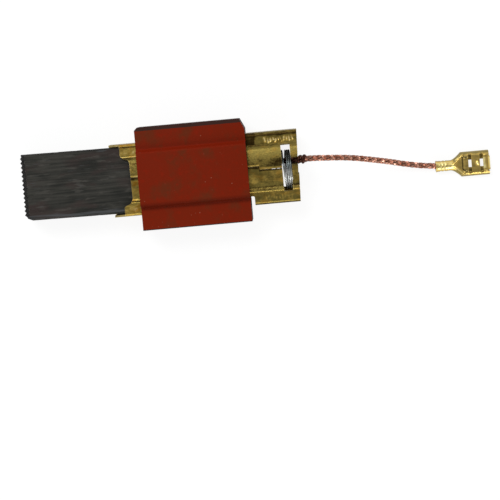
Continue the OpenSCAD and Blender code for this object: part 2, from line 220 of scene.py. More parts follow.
def settle(piece: bpy.types.Object) -> None:
    """Turns the piece's modifiers into plain mesh and removes them."""
    bpy.context.view_layer.update()
    graph = bpy.context.evaluated_depsgraph_get()
    mesh = bpy.data.meshes.new_from_object(
        piece.evaluated_get(graph), preserve_all_data_layers=True, depsgraph=graph)
    piece.modifiers.clear()
    piece.data = mesh
    mesh.name = piece.name


def shade(piece: bpy.types.Object, angle: float) -> None:
    """Shades smooth across edges that turn less than angle degrees."""
    mesh = piece.data
    mesh.polygons.foreach_set("use_smooth", [True] * len(mesh.polygons))
    mesh.set_sharp_from_angle(angle=math.radians(angle))


def soften_edges(piece: bpy.types.Object, width: float, angle: float, segments: int = 2) -> None:
    """Rounds the edges that turn more than angle degrees by width millimetres."""
    bevel = piece.modifiers.new("edges", "BEVEL")
    bevel.width, bevel.segments = width * MM, segments
    bevel.limit_method, bevel.angle_limit = "ANGLE", math.radians(angle)
    bevel.harden_normals = False
    settle(piece)


def note_upright_shade(piece: bpy.types.Object, beyond: float = 0.0, level: float = 0.55) -> None:
    """Marks the upright faces, on which the materials paint shade.

    Args:
        piece: the mesh object.
        beyond: a side face counts only when it is farther than this from the middle, in millimetres.
        level: a face is upright when its normal's Z is under this.
    """
    marks = []
    for face in piece.data.polygons:
        side = abs(face.normal.x) > 0.5 or abs(face.center.y) > beyond * MM
        marks.append(1.0 if abs(face.normal.z) < level and side else 0.0)
    piece.data.attributes.new("upright", "FLOAT", "FACE").data.foreach_set("value", marks)


def thicken(piece: bpy.types.Object, sheet: float) -> None:
    """Gives a sheet its thickness, inwards from its outer face."""
    wall = piece.modifiers.new("sheet", "SOLIDIFY")
    wall.thickness, wall.offset = sheet * MM, -1.0
    wall.use_even_offset = True
    wall.use_quality_normals = True
    settle(piece)


def dress(piece: bpy.types.Object, body: Body, nodes: Sequence[str],
          finish: bpy.types.Material) -> None:
    """Gives a finished piece its material and ties it to the frame.

    Args:
        piece: the piece, with its mesh final.
        body: the body that it rides on.
        nodes: the CAD nodes that it stands for.
        finish: its material.
    """
    piece.data.materials.clear()
    piece.data.materials.append(finish)
    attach(piece, body.value)
    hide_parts(*nodes)
    log.info("%s: %d faces on %s", piece.name, len(piece.data.polygons), body.value)


@dataclass
class SheetGrid:
    """A bent sheet as rows along the brush and columns round its section."""

    rows: int
    columns: int
    place: Callable[[int, int], Point]
    solid: Callable[[int, int], bool]
    tone_and_light: Callable[[int, int], float]

    def build(self, name: str) -> bpy.types.Object:
        """Makes the sheet's outer face, with its brightness mark, which carries painted light, and with a
        mark on its free edges for rubbing and painted edge highlight.

        Args:
            name: the piece's name.

        Returns:
            The sheet, still without thickness.
        """
        points = np.array([self.place(r, c) for r in range(self.rows) for c in range(self.columns)], float)
        tone_and_light = np.array([self.tone_and_light(r, c) for r in range(self.rows) for c in range(self.columns)], float)
        wear_and_edge_highlight = np.zeros(len(points))
        faces, uses = [], {}
        for r in range(self.rows - 1):
            for c in range(self.columns - 1):
                if self.solid(r, c):
                    a = r * self.columns + c
                    faces.append((a, a + 1, a + self.columns + 1, a + self.columns))
        for f in faces:
            for k in range(4):
                edge = tuple(sorted((f[k], f[(k + 1) % 4])))
                uses[edge] = uses.get(edge, 0) + 1
        for edge, count in uses.items():
            if count == 1:
                wear_and_edge_highlight[list(edge)] = 1.0
        used = sorted({v for f in faces for v in f})
        order = {v: i for i, v in enumerate(used)}
        return make_piece(name, points[used], [[order[v] for v in f] for f in faces],
                          {"wear_and_edge_highlight": wear_and_edge_highlight[used], "tone_and_light": tone_and_light[used]})


# ---------------------------------------------------------------- geometry trees


class NodeSheet:
    """A node tree that is written as expressions."""

    def __init__(self, tree: bpy.types.NodeTree) -> None:
        """Takes the tree that the nodes go into."""
        self.tree = tree
        self.nodes, self.links = tree.nodes, tree.links

    def put(self, target: bpy.types.NodeSocket, given: object) -> None:
        """Links a socket or sets a value."""
        if isinstance(given, bpy.types.NodeSocket):
            self.links.new(given, target)
        elif isinstance(given, tuple) and len(given) == 3 and target.type == "RGBA":
            target.default_value = (*given, 1.0)
        else:
            target.default_value = given

    def node(self, kind: str, inputs: dict, **settings: object) -> bpy.types.Node:
        """Adds a node.

        Args:
            kind: the node's type name.
            inputs: value or socket of each input, by its name or number.
            settings: the node's own properties.

        Returns:
            The new node.
        """
        made = self.nodes.new(kind)
        for name, setting in settings.items():
            setattr(made, name, setting)
        for key, given in inputs.items():
            self.put(made.inputs[key], given)
        return made

    def math(self, operation: str, *values: object) -> bpy.types.NodeSocket:
        """Result of a Math node."""
        return self.node("ShaderNodeMath", dict(enumerate(values)), operation=operation).outputs[0]

    def plus(self, a: object, b: object) -> bpy.types.NodeSocket:
        """Sum of a and b."""
        return self.math("ADD", a, b)

    def minus(self, a: object, b: object) -> bpy.types.NodeSocket:
        """What is left of a without b."""
        return self.math("SUBTRACT", a, b)

    def times(self, a: object, b: object) -> bpy.types.NodeSocket:
        """Product of a and b."""
        return self.math("MULTIPLY", a, b)

    def over(self, a: object, b: object) -> bpy.types.NodeSocket:
        """The quotient a / b."""
        return self.math("DIVIDE", a, b)

    def ramp(self, value: object, low: float, high: float, to_low: float = 0.0,
             to_high: float = 1.0) -> bpy.types.NodeSocket:
        """Value moved softly from low..high to another range and held inside it."""
        given = dict(enumerate((value, low, high, to_low, to_high)))
        return self.node("ShaderNodeMapRange", given, interpolation_type="SMOOTHSTEP").outputs[0]


class Graph(NodeSheet):
    """A Geometry Nodes tree."""

    def __init__(self, name: str) -> None:
        """Starts an empty tree with one geometry output."""
        super().__init__(bpy.data.node_groups.new(name, "GeometryNodeTree"))
        self.tree.interface.new_socket("Geometry", in_out="OUTPUT", socket_type="NodeSocketGeometry")
        self.tree.interface.new_socket("Geometry", in_out="INPUT", socket_type="NodeSocketGeometry")
        self.entry = self.nodes.new("NodeGroupInput")
        self.identifiers: dict[str, str] = {}

    def value(self, name: str, kind: Socket) -> bpy.types.NodeSocket:
        """Adds a named input and returns its socket."""
        item = self.tree.interface.new_socket(name, in_out="INPUT", socket_type=kind.value)
        self.identifiers[name] = item.identifier
        return next(s for s in self.entry.outputs if s.identifier == item.identifier)

    def vector(self, operation: str, *values: object) -> bpy.types.NodeSocket:
        """Result of a Vector Math node."""
        keys = (0, "Scale") if operation == "SCALE" else (0, 1)
        return self.node("ShaderNodeVectorMath", dict(zip(keys, values)), operation=operation).outputs[0]

    def remap(self, value: object, low: object, high: object, to_low: object,
              to_high: object) -> bpy.types.NodeSocket:
        """Value moved evenly from one range to another and held inside it."""
        given = dict(enumerate((value, low, high, to_low, to_high)))
        return self.node("ShaderNodeMapRange", given, clamp=True).outputs[0]

    def keep(self, geometry: bpy.types.NodeSocket, name: str, value: object) -> bpy.types.NodeSocket:
        """Geometry whose points keep a value under a name."""
        given = {"Geometry": geometry, "Name": name, "Value": value}
        made = self.node("GeometryNodeStoreNamedAttribute", given, data_type="FLOAT", domain="POINT")
        return made.outputs[0]

    def tube(self, curve: bpy.types.NodeSocket, sides: object, radius: object) -> bpy.types.NodeSocket:
        """Capped tube along a curve."""
        ring = self.node("GeometryNodeCurvePrimitiveCircle", {"Resolution": sides, "Radius": radius})
        given = {"Curve": curve, "Profile Curve": ring.outputs[0], "Fill Caps": True}
        return self.node("GeometryNodeCurveToMesh", given).outputs[0]

    def finish(self, geometry: bpy.types.NodeSocket, finish: bpy.types.Material) -> None:
        """Ends the tree in Realize Instances and Set Material."""
        real = self.node("GeometryNodeRealizeInstances", {"Geometry": geometry}).outputs[0]
        made = self.node("GeometryNodeSetMaterial", {"Geometry": real, "Material": finish}).outputs[0]
        self.node("NodeGroupOutput", {0: made})

    def run(self, piece: bpy.types.Object, **values: float) -> None:
        """Runs the tree on the piece and keeps the result as plain mesh."""
        step = piece.modifiers.new(self.tree.name, "NODES")
        step.node_group = self.tree
        for name, given in values.items():
            step[self.identifiers[name]] = given
        settle(piece)


# ---------------------------------------------------------------- finishes


class Shader(NodeSheet):
    """A material's nodes, on the object's own coordinates."""

    def __init__(self, name: str, metallic: float, roughness: float, specular: float = 0.5) -> None:
        """Starts a Principled material."""
        self.material = bpy.data.materials.new(name)
        self.material.use_nodes = True
        super().__init__(self.material.node_tree)
        self.nodes.clear()
        self.surface = self.node("ShaderNodeBsdfPrincipled", {
            "Metallic": metallic, "Roughness": roughness, "Specular IOR Level": specular})
        self.node("ShaderNodeOutputMaterial", {0: self.surface.outputs[0]})
        self.place = self.node("ShaderNodeTexCoord", {}).outputs["Object"]

    def noise(self, size: float, detail: float = 3.0, stretch: Point = (1, 1, 1),
              shift: float = 0.0) -> bpy.types.NodeSocket:
        """Noise from 0 to 1.

        Args:
            size: width of its lumps in millimetres.
            detail: how many finer layers it has.
            stretch: how much longer the lumps are along each axis.
            shift: moves the pattern, so that two layers differ.

        Returns:
            The noise's socket.
        """
        place = self.node("ShaderNodeMapping", {
            "Vector": self.place, "Location": (shift, shift * 0.7, shift * 0.3),
            "Scale": tuple(1 / (size * MM * s) for s in stretch)}).outputs[0]
        given = {"Vector": place, "Scale": 1.0, "Detail": detail}
        return self.node("ShaderNodeTexNoise", given).outputs["Fac"]

    def along(self, axis: int) -> bpy.types.NodeSocket:
        """The object's own coordinate along an axis, in metres."""
        return self.node("ShaderNodeSeparateXYZ", {0: self.place}).outputs[axis]

    def mark(self, name: str) -> bpy.types.NodeSocket:
        """Value of an attribute of the mesh."""
        return self.node("ShaderNodeAttribute", {}, attribute_name=name).outputs["Fac"]

    def swing(self, value: object, reach: float) -> bpy.types.NodeSocket:
        """Noise that swings round zero, by half of reach each way."""
        return self.times(self.minus(value, 0.5), reach)

    def band(self, axis: int, middle: float, inner: float, outer: float,
             most: float = 1.0) -> bpy.types.NodeSocket:
        """Share of a band across an axis: most up to inner from its middle, and nothing past outer."""
        off = self.math("ABSOLUTE", self.minus(self.along(axis), middle * MM))
        return self.ramp(off, inner * MM, outer * MM, most, 0.0)

    def mix(self, share: object, first: object, second: object) -> bpy.types.NodeSocket:
        """Colour between first and second."""
        return self.node("ShaderNodeMix", {0: share, 6: first, 7: second}, data_type="RGBA").outputs[2]

    def lay(self, under: object, colour: Colour, where: object, low: float, high: float,
            most: float = 1.0) -> bpy.types.NodeSocket:
        """Colour laid over another where a value rises from low to high, and no more than most of it."""
        return self.mix(self.ramp(where, low, high, 0.0, most), under, colour)

    def relief(self, height: object, depth: float, below: object = None) -> bpy.types.NodeSocket:
        """Bump of the given depth in millimetres, on top of another bump."""
        made = self.node("ShaderNodeBump", {"Strength": 1.0, "Distance": depth * MM, "Height": height})
        if below is not None:
            self.put(made.inputs["Normal"], below)
        return made.outputs[0]

    def done(self, colour: object, roughness: object = None, normal: object = None) -> bpy.types.Material:
        """Sets the surface and returns the material."""
        for name, given in (("Base Color", colour), ("Roughness", roughness), ("Normal", normal)):
            if given is not None:
                self.put(self.surface.inputs[name], given)
        return self.material


@dataclass(frozen=True)
class CarbonFinish:
    """Pressed and sawn carbon with streaks along its length, a paler bluish streaked band near one edge, and
    painted shade on its upright faces.
    """

    dark: Colour = (0.0155, 0.0165, 0.0138)
    pale: Colour = (0.053, 0.051, 0.0435)
    brown: Colour = (0.045, 0.03, 0.027)
    polished: Colour = (0.085, 0.089, 0.095)
    specks: Colour = (0.085, 0.08, 0.07)
    # black: painted shade on the upright faces
    black: Colour = (0.014, 0.014, 0.0135)
    band_y: float = -7.3

    def material(self) -> bpy.types.Material:
        """Builds the material."""
        shader = Shader("carbon", 0.0, 0.55, 0.15)
        streaks = shader.noise(0.5, 5.0, (22, 1, 1.5))
        patches = shader.noise(6.0, 3.0, (1.6, 1, 1), 3.0)
        tint = shader.noise(3.5, 4.0, (3, 1, 1), 9.0)
        scratches = shader.noise(0.3, 2.0, (14, 1, 1), 15.0)
        scuffs = shader.noise(1.1, 5.0, (4, 1, 1), 31.0)
        pits = shader.noise(0.16, 2.0, (1, 1, 1), 5.0)
        share = shader.plus(shader.times(streaks, 0.55), shader.times(patches, 0.45))
        colour = shader.lay(self.dark, self.pale, share, 0.36, 0.66)
        colour = shader.lay(colour, self.brown, tint, 0.48, 0.66, 0.75)
        colour = shader.lay(colour, self.specks, scuffs, 0.56, 0.68, 0.5)
        # a paler bluish band near the -Y edge, following the streaks
        near = shader.band(1, self.band_y, 0.25, 0.75)
        band_share = shader.times(near, shader.ramp(streaks, 0.42, 0.62))
        colour = shader.mix(shader.times(band_share, 0.8), colour, self.polished)
        colour = shader.lay(colour, self.polished, scratches, 0.66, 0.72, 0.5)
        colour = shader.lay(colour, self.specks, pits, 0.72, 0.8, 0.5)
        # painted shade: the upright faces are darkened towards black
        colour = shader.lay(colour, self.black, shader.mark("upright"), 0.0, 1.0, 0.7)
        rough = shader.ramp(streaks, 0.3, 0.7, 0.5, 0.68)
        rough = shader.math("MAXIMUM", rough, shader.mark("upright"))
        lines = shader.relief(shader.noise(0.22, 4.0, (60, 1, 1), 2.0), 0.035)
        return shader.done(colour, rough, shader.relief(pits, 0.03, lines))


@dataclass(frozen=True)
class ResinFinish:
    """Dark red moulded resin, a little dusty, with painted shade on its upright faces, a painted highlight
    along the upper step and painted shade along the lower step.
    """

    red: Colour = (0.2, 0.0155, 0.0028)
    brown: Colour = (0.145, 0.024, 0.007)
    bright: Colour = (0.26, 0.013, 0.0015)
    # dull: painted shade on the upright faces
    dull: Colour = (0.035, 0.024, 0.02)
    # the step colours paint a highlight on the upper step and shade on the lower step
    step_highlight: Colour = (0.27, 0.0165, 0.0028)
    step_shade: Colour = (0.085, 0.007, 0.0015)
    step_y: float = 6.95
    dust: Colour = (0.45, 0.22, 0.15)

    def material(self) -> bpy.types.Material:
        """Builds the material."""
        shader = Shader("sleeve_resin", 0.0, 0.62, 0.06)
        clouds = shader.noise(4.0, 6.0, (1.2, 1.6, 1))
        blotch = shader.noise(1.2, 4.0, (1, 1, 1), 4.0)
        fine = shader.noise(0.3, 3.0, (1, 1, 1), 7.0)
        specks = shader.noise(0.5, 1.0, (1, 1, 1), 12.0)
        colour = shader.lay(self.red, self.brown, clouds, 0.48, 0.7)
        colour = shader.lay(colour, self.bright, blotch, 0.5, 0.75, 0.5)
        # painted highlight along the upper step, painted shade along the lower step
        colour = shader.mix(shader.band(1, self.step_y, 0.1, 0.9, 0.85), colour, self.step_highlight)
        colour = shader.mix(shader.band(1, -self.step_y, 0.3, 1.3, 0.6), colour, self.step_shade)
        # painted shade on the upright faces
        colour = shader.lay(colour, self.dull, shader.mark("upright"), 0.0, 1.0, 0.88)
        colour = shader.lay(colour, self.dust, specks, 0.77, 0.82, 0.6)
        rough = shader.ramp(clouds, 0.3, 0.7, 0.55, 0.7)
        rise = shader.relief(blotch, 0.03)
        return shader.done(colour, rough, shader.relief(fine, 0.035, rise))


@dataclass(frozen=True)
class AgedBrassFinish:
    """Rolled brass that has dulled to olive, with painted highlights, reflections and shade from its
    brightness mark, and free edges bright from rubbing and from a painted edge highlight.
    """

    bright: Colour = (0.44, 0.305, 0.07)
    olive: Colour = (0.2, 0.152, 0.038)
    tarnish_and_shade: Colour = (0.04, 0.024, 0.006)
    bare_and_highlight: Colour = (0.75, 0.6, 0.27)
    orange: Colour = (0.34, 0.17, 0.02)

    def material(self) -> bpy.types.Material:
        """Builds the material."""
        shader = Shader("holder_brass", 1.0, 0.38)
        clouds = shader.noise(2.4, 5.0, (1.8, 1, 1))
        stains = shader.noise(0.9, 5.0, (1.6, 1, 1), 6.0)
        fine = shader.noise(0.35, 4.0, (1.5, 1, 1), 2.0)
        brushed = shader.noise(0.12, 3.0, (30, 1, 1), 8.0)
        grains = shader.noise(0.4, 2.0, (1.3, 1, 1), 21.0)
        drift = shader.swing(clouds, 0.6)
        spots = shader.swing(stains, 0.6)
        spots = shader.plus(spots, shader.swing(grains, 0.5))
        # the brightness mark carries tarnished olive and the painted highlights, reflections and shade
        tone_and_light = shader.plus(shader.plus(shader.mark("tone_and_light"), drift), spots)
        colour = shader.lay(self.tarnish_and_shade, self.olive, tone_and_light, 0.0, 0.5)
        colour = shader.lay(colour, self.bright, tone_and_light, 0.5, 1.0)
        warm = shader.noise(1.5, 4.0, (1.5, 1, 1), 11.0)
        front = shader.ramp(shader.along(0), -14 * MM, 10 * MM, 1.0, 0.4)
        gilded = shader.times(shader.ramp(warm, 0.45, 0.68), front)
        colour = shader.mix(shader.times(gilded, shader.ramp(tone_and_light, 0.2, 0.6)), colour, self.orange)
        # painted highlights where the brightness mark runs past 1, in the colour of bared metal
        colour = shader.lay(colour, self.bare_and_highlight, tone_and_light, 1.0, 1.45)
        # free edges brightened, partly real rubbing and partly a painted edge highlight
        colour = shader.lay(colour, self.bare_and_highlight, shader.mark("wear_and_edge_highlight"), 0.5, 1.0, 0.5)
        rough = shader.ramp(shader.plus(clouds, stains), 0.7, 1.3, 0.3, 0.5)
        rise = shader.relief(brushed, 0.006, shader.relief(fine, 0.02))
        return shader.done(colour, rough, rise)


@dataclass(frozen=True)
class TinnedBrassFinish:
    """Fresh light yellow brass of the stamped terminal, with painted highlights and shade laid in from its
    brightness mark.
    """

    gold: Colour = (0.72, 0.5, 0.13)
    pale: Colour = (1.0, 0.88, 0.4)
    olive: Colour = (0.3, 0.235, 0.085)
    dark: Colour = (0.03, 0.018, 0.006)

    def material(self) -> bpy.types.Material:
        """Builds the material."""
        shader = Shader("terminal_brass", 1.0, 0.26)
        clouds = shader.noise(1.6, 4.0, (1.5, 1, 1))
        dull = shader.noise(0.6, 4.0, (2, 1, 1), 5.0)
        fine = shader.noise(0.15, 3.0, (6, 1, 1), 3.0)
        drift = shader.swing(clouds, 0.3)
        spots = shader.swing(dull, 0.2)
        tone_and_light = shader.plus(shader.plus(shader.mark("tone_and_light"), drift), spots)
        # dark and pale carry the painted shade and painted highlights
        colour = shader.lay(self.dark, self.olive, tone_and_light, 0.0, 0.3)
        colour = shader.lay(colour, self.gold, tone_and_light, 0.3, 0.7)
        colour = shader.lay(colour, self.pale, tone_and_light, 0.7, 1.0)
        return shader.done(colour, shader.ramp(dull, 0.3, 0.7, 0.3, 0.42), shader.relief(fine, 0.004))


@dataclass(frozen=True)
class CopperFinish:
    """Fine copper wire, darker near the holder from oxide and painted shade, and with painted shade where
    wires run under others and on the core.
    """

    copper: Colour = (0.98, 0.56, 0.42)
    red: Colour = (0.5, 0.16, 0.08)
    oxide_and_shade: Colour = (0.03, 0.009, 0.006)

    def material(self) -> bpy.types.Material:
        """Builds the material."""
        shader = Shader("copper_braid", 1.0, 0.34)
        clouds = shader.noise(1.2, 3.0)
        threads = shader.noise(0.35, 2.0, (1.6, 1, 1), 4.0)
        share = shader.plus(shader.ramp(clouds, 0.35, 0.7, 0.0, 0.5),
                            shader.ramp(threads, 0.35, 0.65, 0.0, 0.6))
        colour = shader.mix(share, self.copper, self.red)
        # painted shade where wires run under others and on the core
        colour = shader.lay(colour, self.oxide_and_shade, shader.mark("deep"), 0.0, 1.0, 0.65)
        # darker near the holder: oxide and painted shade
        colour = shader.mix(shader.mark("oxide_and_shade"), colour, self.oxide_and_shade)
        return shader.done(colour, shader.ramp(clouds, 0.3, 0.7, 0.28, 0.45))


@dataclass(frozen=True)
class PowderFinish:
    """Copper powder that was pressed round the braid."""

    bright: Colour = (0.42, 0.2, 0.11)
    dark: Colour = (0.12, 0.055, 0.03)

    def material(self) -> bpy.types.Material:
        """Builds the material."""
        shader = Shader("copper_powder", 0.6, 0.7)
        grains = shader.noise(0.12, 3.0)
        return shader.done(shader.mix(grains, self.dark, self.bright), None, shader.relief(grains, 0.03))


@dataclass(frozen=True)
class SpringSteelFinish:
    """Hard drawn steel wire, blackened in spots, with painted shade on its +Y side and a painted highlight in
    a band on its -Y side.
    """

    # steel: the colour of the painted highlight
    steel: Colour = (0.72, 0.74, 0.73)
    blue: Colour = (0.17, 0.2, 0.2)
    black: Colour = (0.03, 0.03, 0.026)

    def material(self) -> bpy.types.Material:
        """Builds the material."""
        shader = Shader("spring_steel", 1.0, 0.27)
        spots = shader.noise(1.6, 3.0)
        across = shader.along(1)
        # painted shade on the +Y side
        dark = shader.ramp(across, 0.2 * MM, 3.6 * MM)
        # painted highlight in a band on the -Y side
        bright = shader.times(shader.ramp(across, -5.2 * MM, -4.2 * MM),
                              shader.ramp(across, -1.6 * MM, 0.0, 1.0, 0.0))
        colour = shader.lay(self.blue, self.black, spots, 0.35, 0.75, 0.7)
        colour = shader.mix(shader.times(bright, shader.ramp(spots, 0.3, 0.6, 1.0, 0.6)), colour, self.steel)
        colour = shader.mix(shader.times(dark, 0.8), colour, self.black)
        return shader.done(colour, shader.ramp(spots, 0.3, 0.7, 0.22, 0.4))


# ---------------------------------------------------------------- sub-assemblies


@dataclass
class CarbonBlock:
    """The carbon block with its toothed contact face, and the powder that holds the pigtail in it."""

    width: float = 16.4
    thickness: float = 6.3
    tip_x: float = -43.8
    rear_x: float = -5.0
    axis_z: float = 6.5
    teeth: int = 15
    tooth_depth: float = 0.4
    tip_lean: float = 16.0
    tip_r: float = 1.2
    far_tip_r: float = 0.4
    chamfer: float = 0.3
    hole_r: float = 1.5
    hole_depth: float = 6.0
    braid_r: float = 0.75
    tooth_steps: int = 6
    skew: float = 0.62
    pivot_x: float = -16.0
    chip_size: float = 0.9
    chip_level: float = 0.25
    chip_depth: float = 0.25

    def tip_setback(self, y: float) -> float:
        """How far the contact face stands back at y, from its teeth and its rounded corners."""
        half = self.width / 2
        pitch = self.width / self.teeth
        share = ((y + half) / pitch) % 1.0
        tooth = self.tooth_depth * (1 - abs(2 * share - 1)) ** 0.85
        back = 0.0
        for radius, edge in ((self.tip_r, y + half), (self.far_tip_r, half - y)):
            if edge < radius:
                back += radius - math.sqrt(max(0.0, radius**2 - (radius - edge) ** 2))
        return tooth + back

    def ring(self, z: float, inset: float) -> list[Point]:
        """Outline of the block at height z, pulled in by inset at its sides."""
        half = self.width / 2
        edge, end, height = half - inset, self.rear_x - inset, z + self.axis_z
        lean = math.tan(math.radians(self.tip_lean)) * (z + self.thickness / 2)
        count = self.teeth * self.tooth_steps
        across = [-half + self.width * k / count for k in range(count + 1)]
        tip = [(self.tip_x + self.tip_setback(y) + lean + inset * 0.5, max(-edge, min(edge, y)), height)
               for y in across]
        along = np.linspace(0, 1, 40)[1:]
        upper = [(tip[-1][0] + (end - tip[-1][0]) * s, edge, height) for s in along]
        rear = [(end, edge - 2 * edge * s, height) for s in np.linspace(0, 1, 17)[1:]]
        lower = [(end + (tip[0][0] - end) * s, -edge, height) for s in along[:-1]]
        return tip + upper + rear + lower

    def chip(self, p: Point) -> Point:
        """Moves a point of an edge a little, as small chips in the carbon do."""
        x, y, z = p
        bite = max(0.0, grain(x, y, z, self.chip_size) - self.chip_level) * self.chip_depth
        return self.turned((x, y - math.copysign(bite, y), z - math.copysign(bite * 0.6, z - self.axis_z)))

    def turned(self, p: Point) -> Point:
        """Point of the block as it lies in the holder, a little askew within its play."""
        a = math.radians(self.skew)
        x = p[0] - self.pivot_x
        along, across = x * math.cos(a) + p[1] * math.sin(a), p[1] * math.cos(a) - x * math.sin(a)
        return self.pivot_x + along, across, p[2]

    def build_block(self) -> bpy.types.Object:
        """Makes the block from outlines stacked through its thickness."""
        top = self.thickness / 2
        levels = [(-top, self.chamfer), (-top + self.chamfer, 0.0)]
        levels += [(z, 0.0) for z in np.linspace(-top, top, 9)[1:-1] if abs(z) < top - self.chamfer]
        levels += [(top - self.chamfer, 0.0), (top, self.chamfer)]
        rings = [[self.chip(p) for p in self.ring(z, inset)] for z, inset in levels]
        n = len(rings[0])
        points = [p for ring in rings for p in ring]
        faces = ring_walls(len(rings), n)
        faces += [tuple(range(n)), tuple((len(rings) - 1) * n + i for i in range(n))]
        block = make_piece("carbon_block_body", np.array(points), faces)
        face_outwards(block)
        self.drill(block)
        note_upright_shade(block)
        shade(block, 28)
        return block

    def drill(self, block: bpy.types.Object) -> None:
        """Cuts the pigtail's hole into the block's rear face."""
        mouth = [c * MM for c in self.turned((self.rear_x, 0, self.axis_z))]
        bpy.ops.mesh.primitive_cylinder_add(
            vertices=40, radius=self.hole_r * MM, depth=2 * self.hole_depth * MM, location=mouth,
            rotation=(0, math.pi / 2, 0))
        bit = bpy.context.object
        cut = block.modifiers.new("hole", "BOOLEAN")
        cut.object, cut.operation, cut.solver = bit, "DIFFERENCE", "EXACT"
        settle(block)
        bpy.data.objects.remove(bit)

    def build_plug(self) -> bpy.types.Object:
        """Makes the pressed powder as a turned ring whose open end is dished and uneven."""
        sides = 40
        end, inner, outer = self.rear_x, self.braid_r, self.hole_r - 0.02
        start = end - self.hole_depth + 0.02
        profile = [(start, inner), (start, outer), (end - 0.1, outer), (end - 0.25, self.hole_r - 0.3),
                   (end - 0.45, inner + 0.15), (end - 0.5, inner)]
        points = []
        for x, radius in profile:
            for k in range(sides):
                a = 2 * math.pi * k / sides
                rough = 0.06 * grain(x, 3 * math.cos(a), 3 * math.sin(a), 0.7) if x > end - 0.6 else 0.0
                points.append((x + min(0.0, rough), radius * math.cos(a), self.axis_z + radius * math.sin(a)))
        plug = make_piece("tamped_powder", np.array(points), ring_walls(len(profile), sides, True))
        face_outwards(plug)
        shade(plug, 40)
        return plug

    def build(self) -> list[bpy.types.Object]:
        """Builds and dresses both pieces."""
        block, plug = self.build_block(), self.build_plug()
        dress(block, Body.BRUSH, ["carbon_block"], CarbonFinish().material())
        dress(plug, Body.BRUSH, ["tamp_plug"], PowderFinish().material())
        return [block, plug]


class Stretch(IntEnum):
    """Stretches of the holder between one cut and the next, from its front to its rear."""

    LIP = 0
    WINGS = 1
    COVERED = 2
    RECESS = 3
    MIDDLE = 4
    SEAM_KEY = 5
    REAR_HALF = 6
    WINDOW = 7
    STRIP = 8


@dataclass(frozen=True)
class Column:
    """A column of the holder's sheet: some of the way from the seam's edge, or a place in the section."""

    seam: int = 0
    share: float = 0.0
    y: float = 0.0
    z: float = 0.0
    long: bool = False


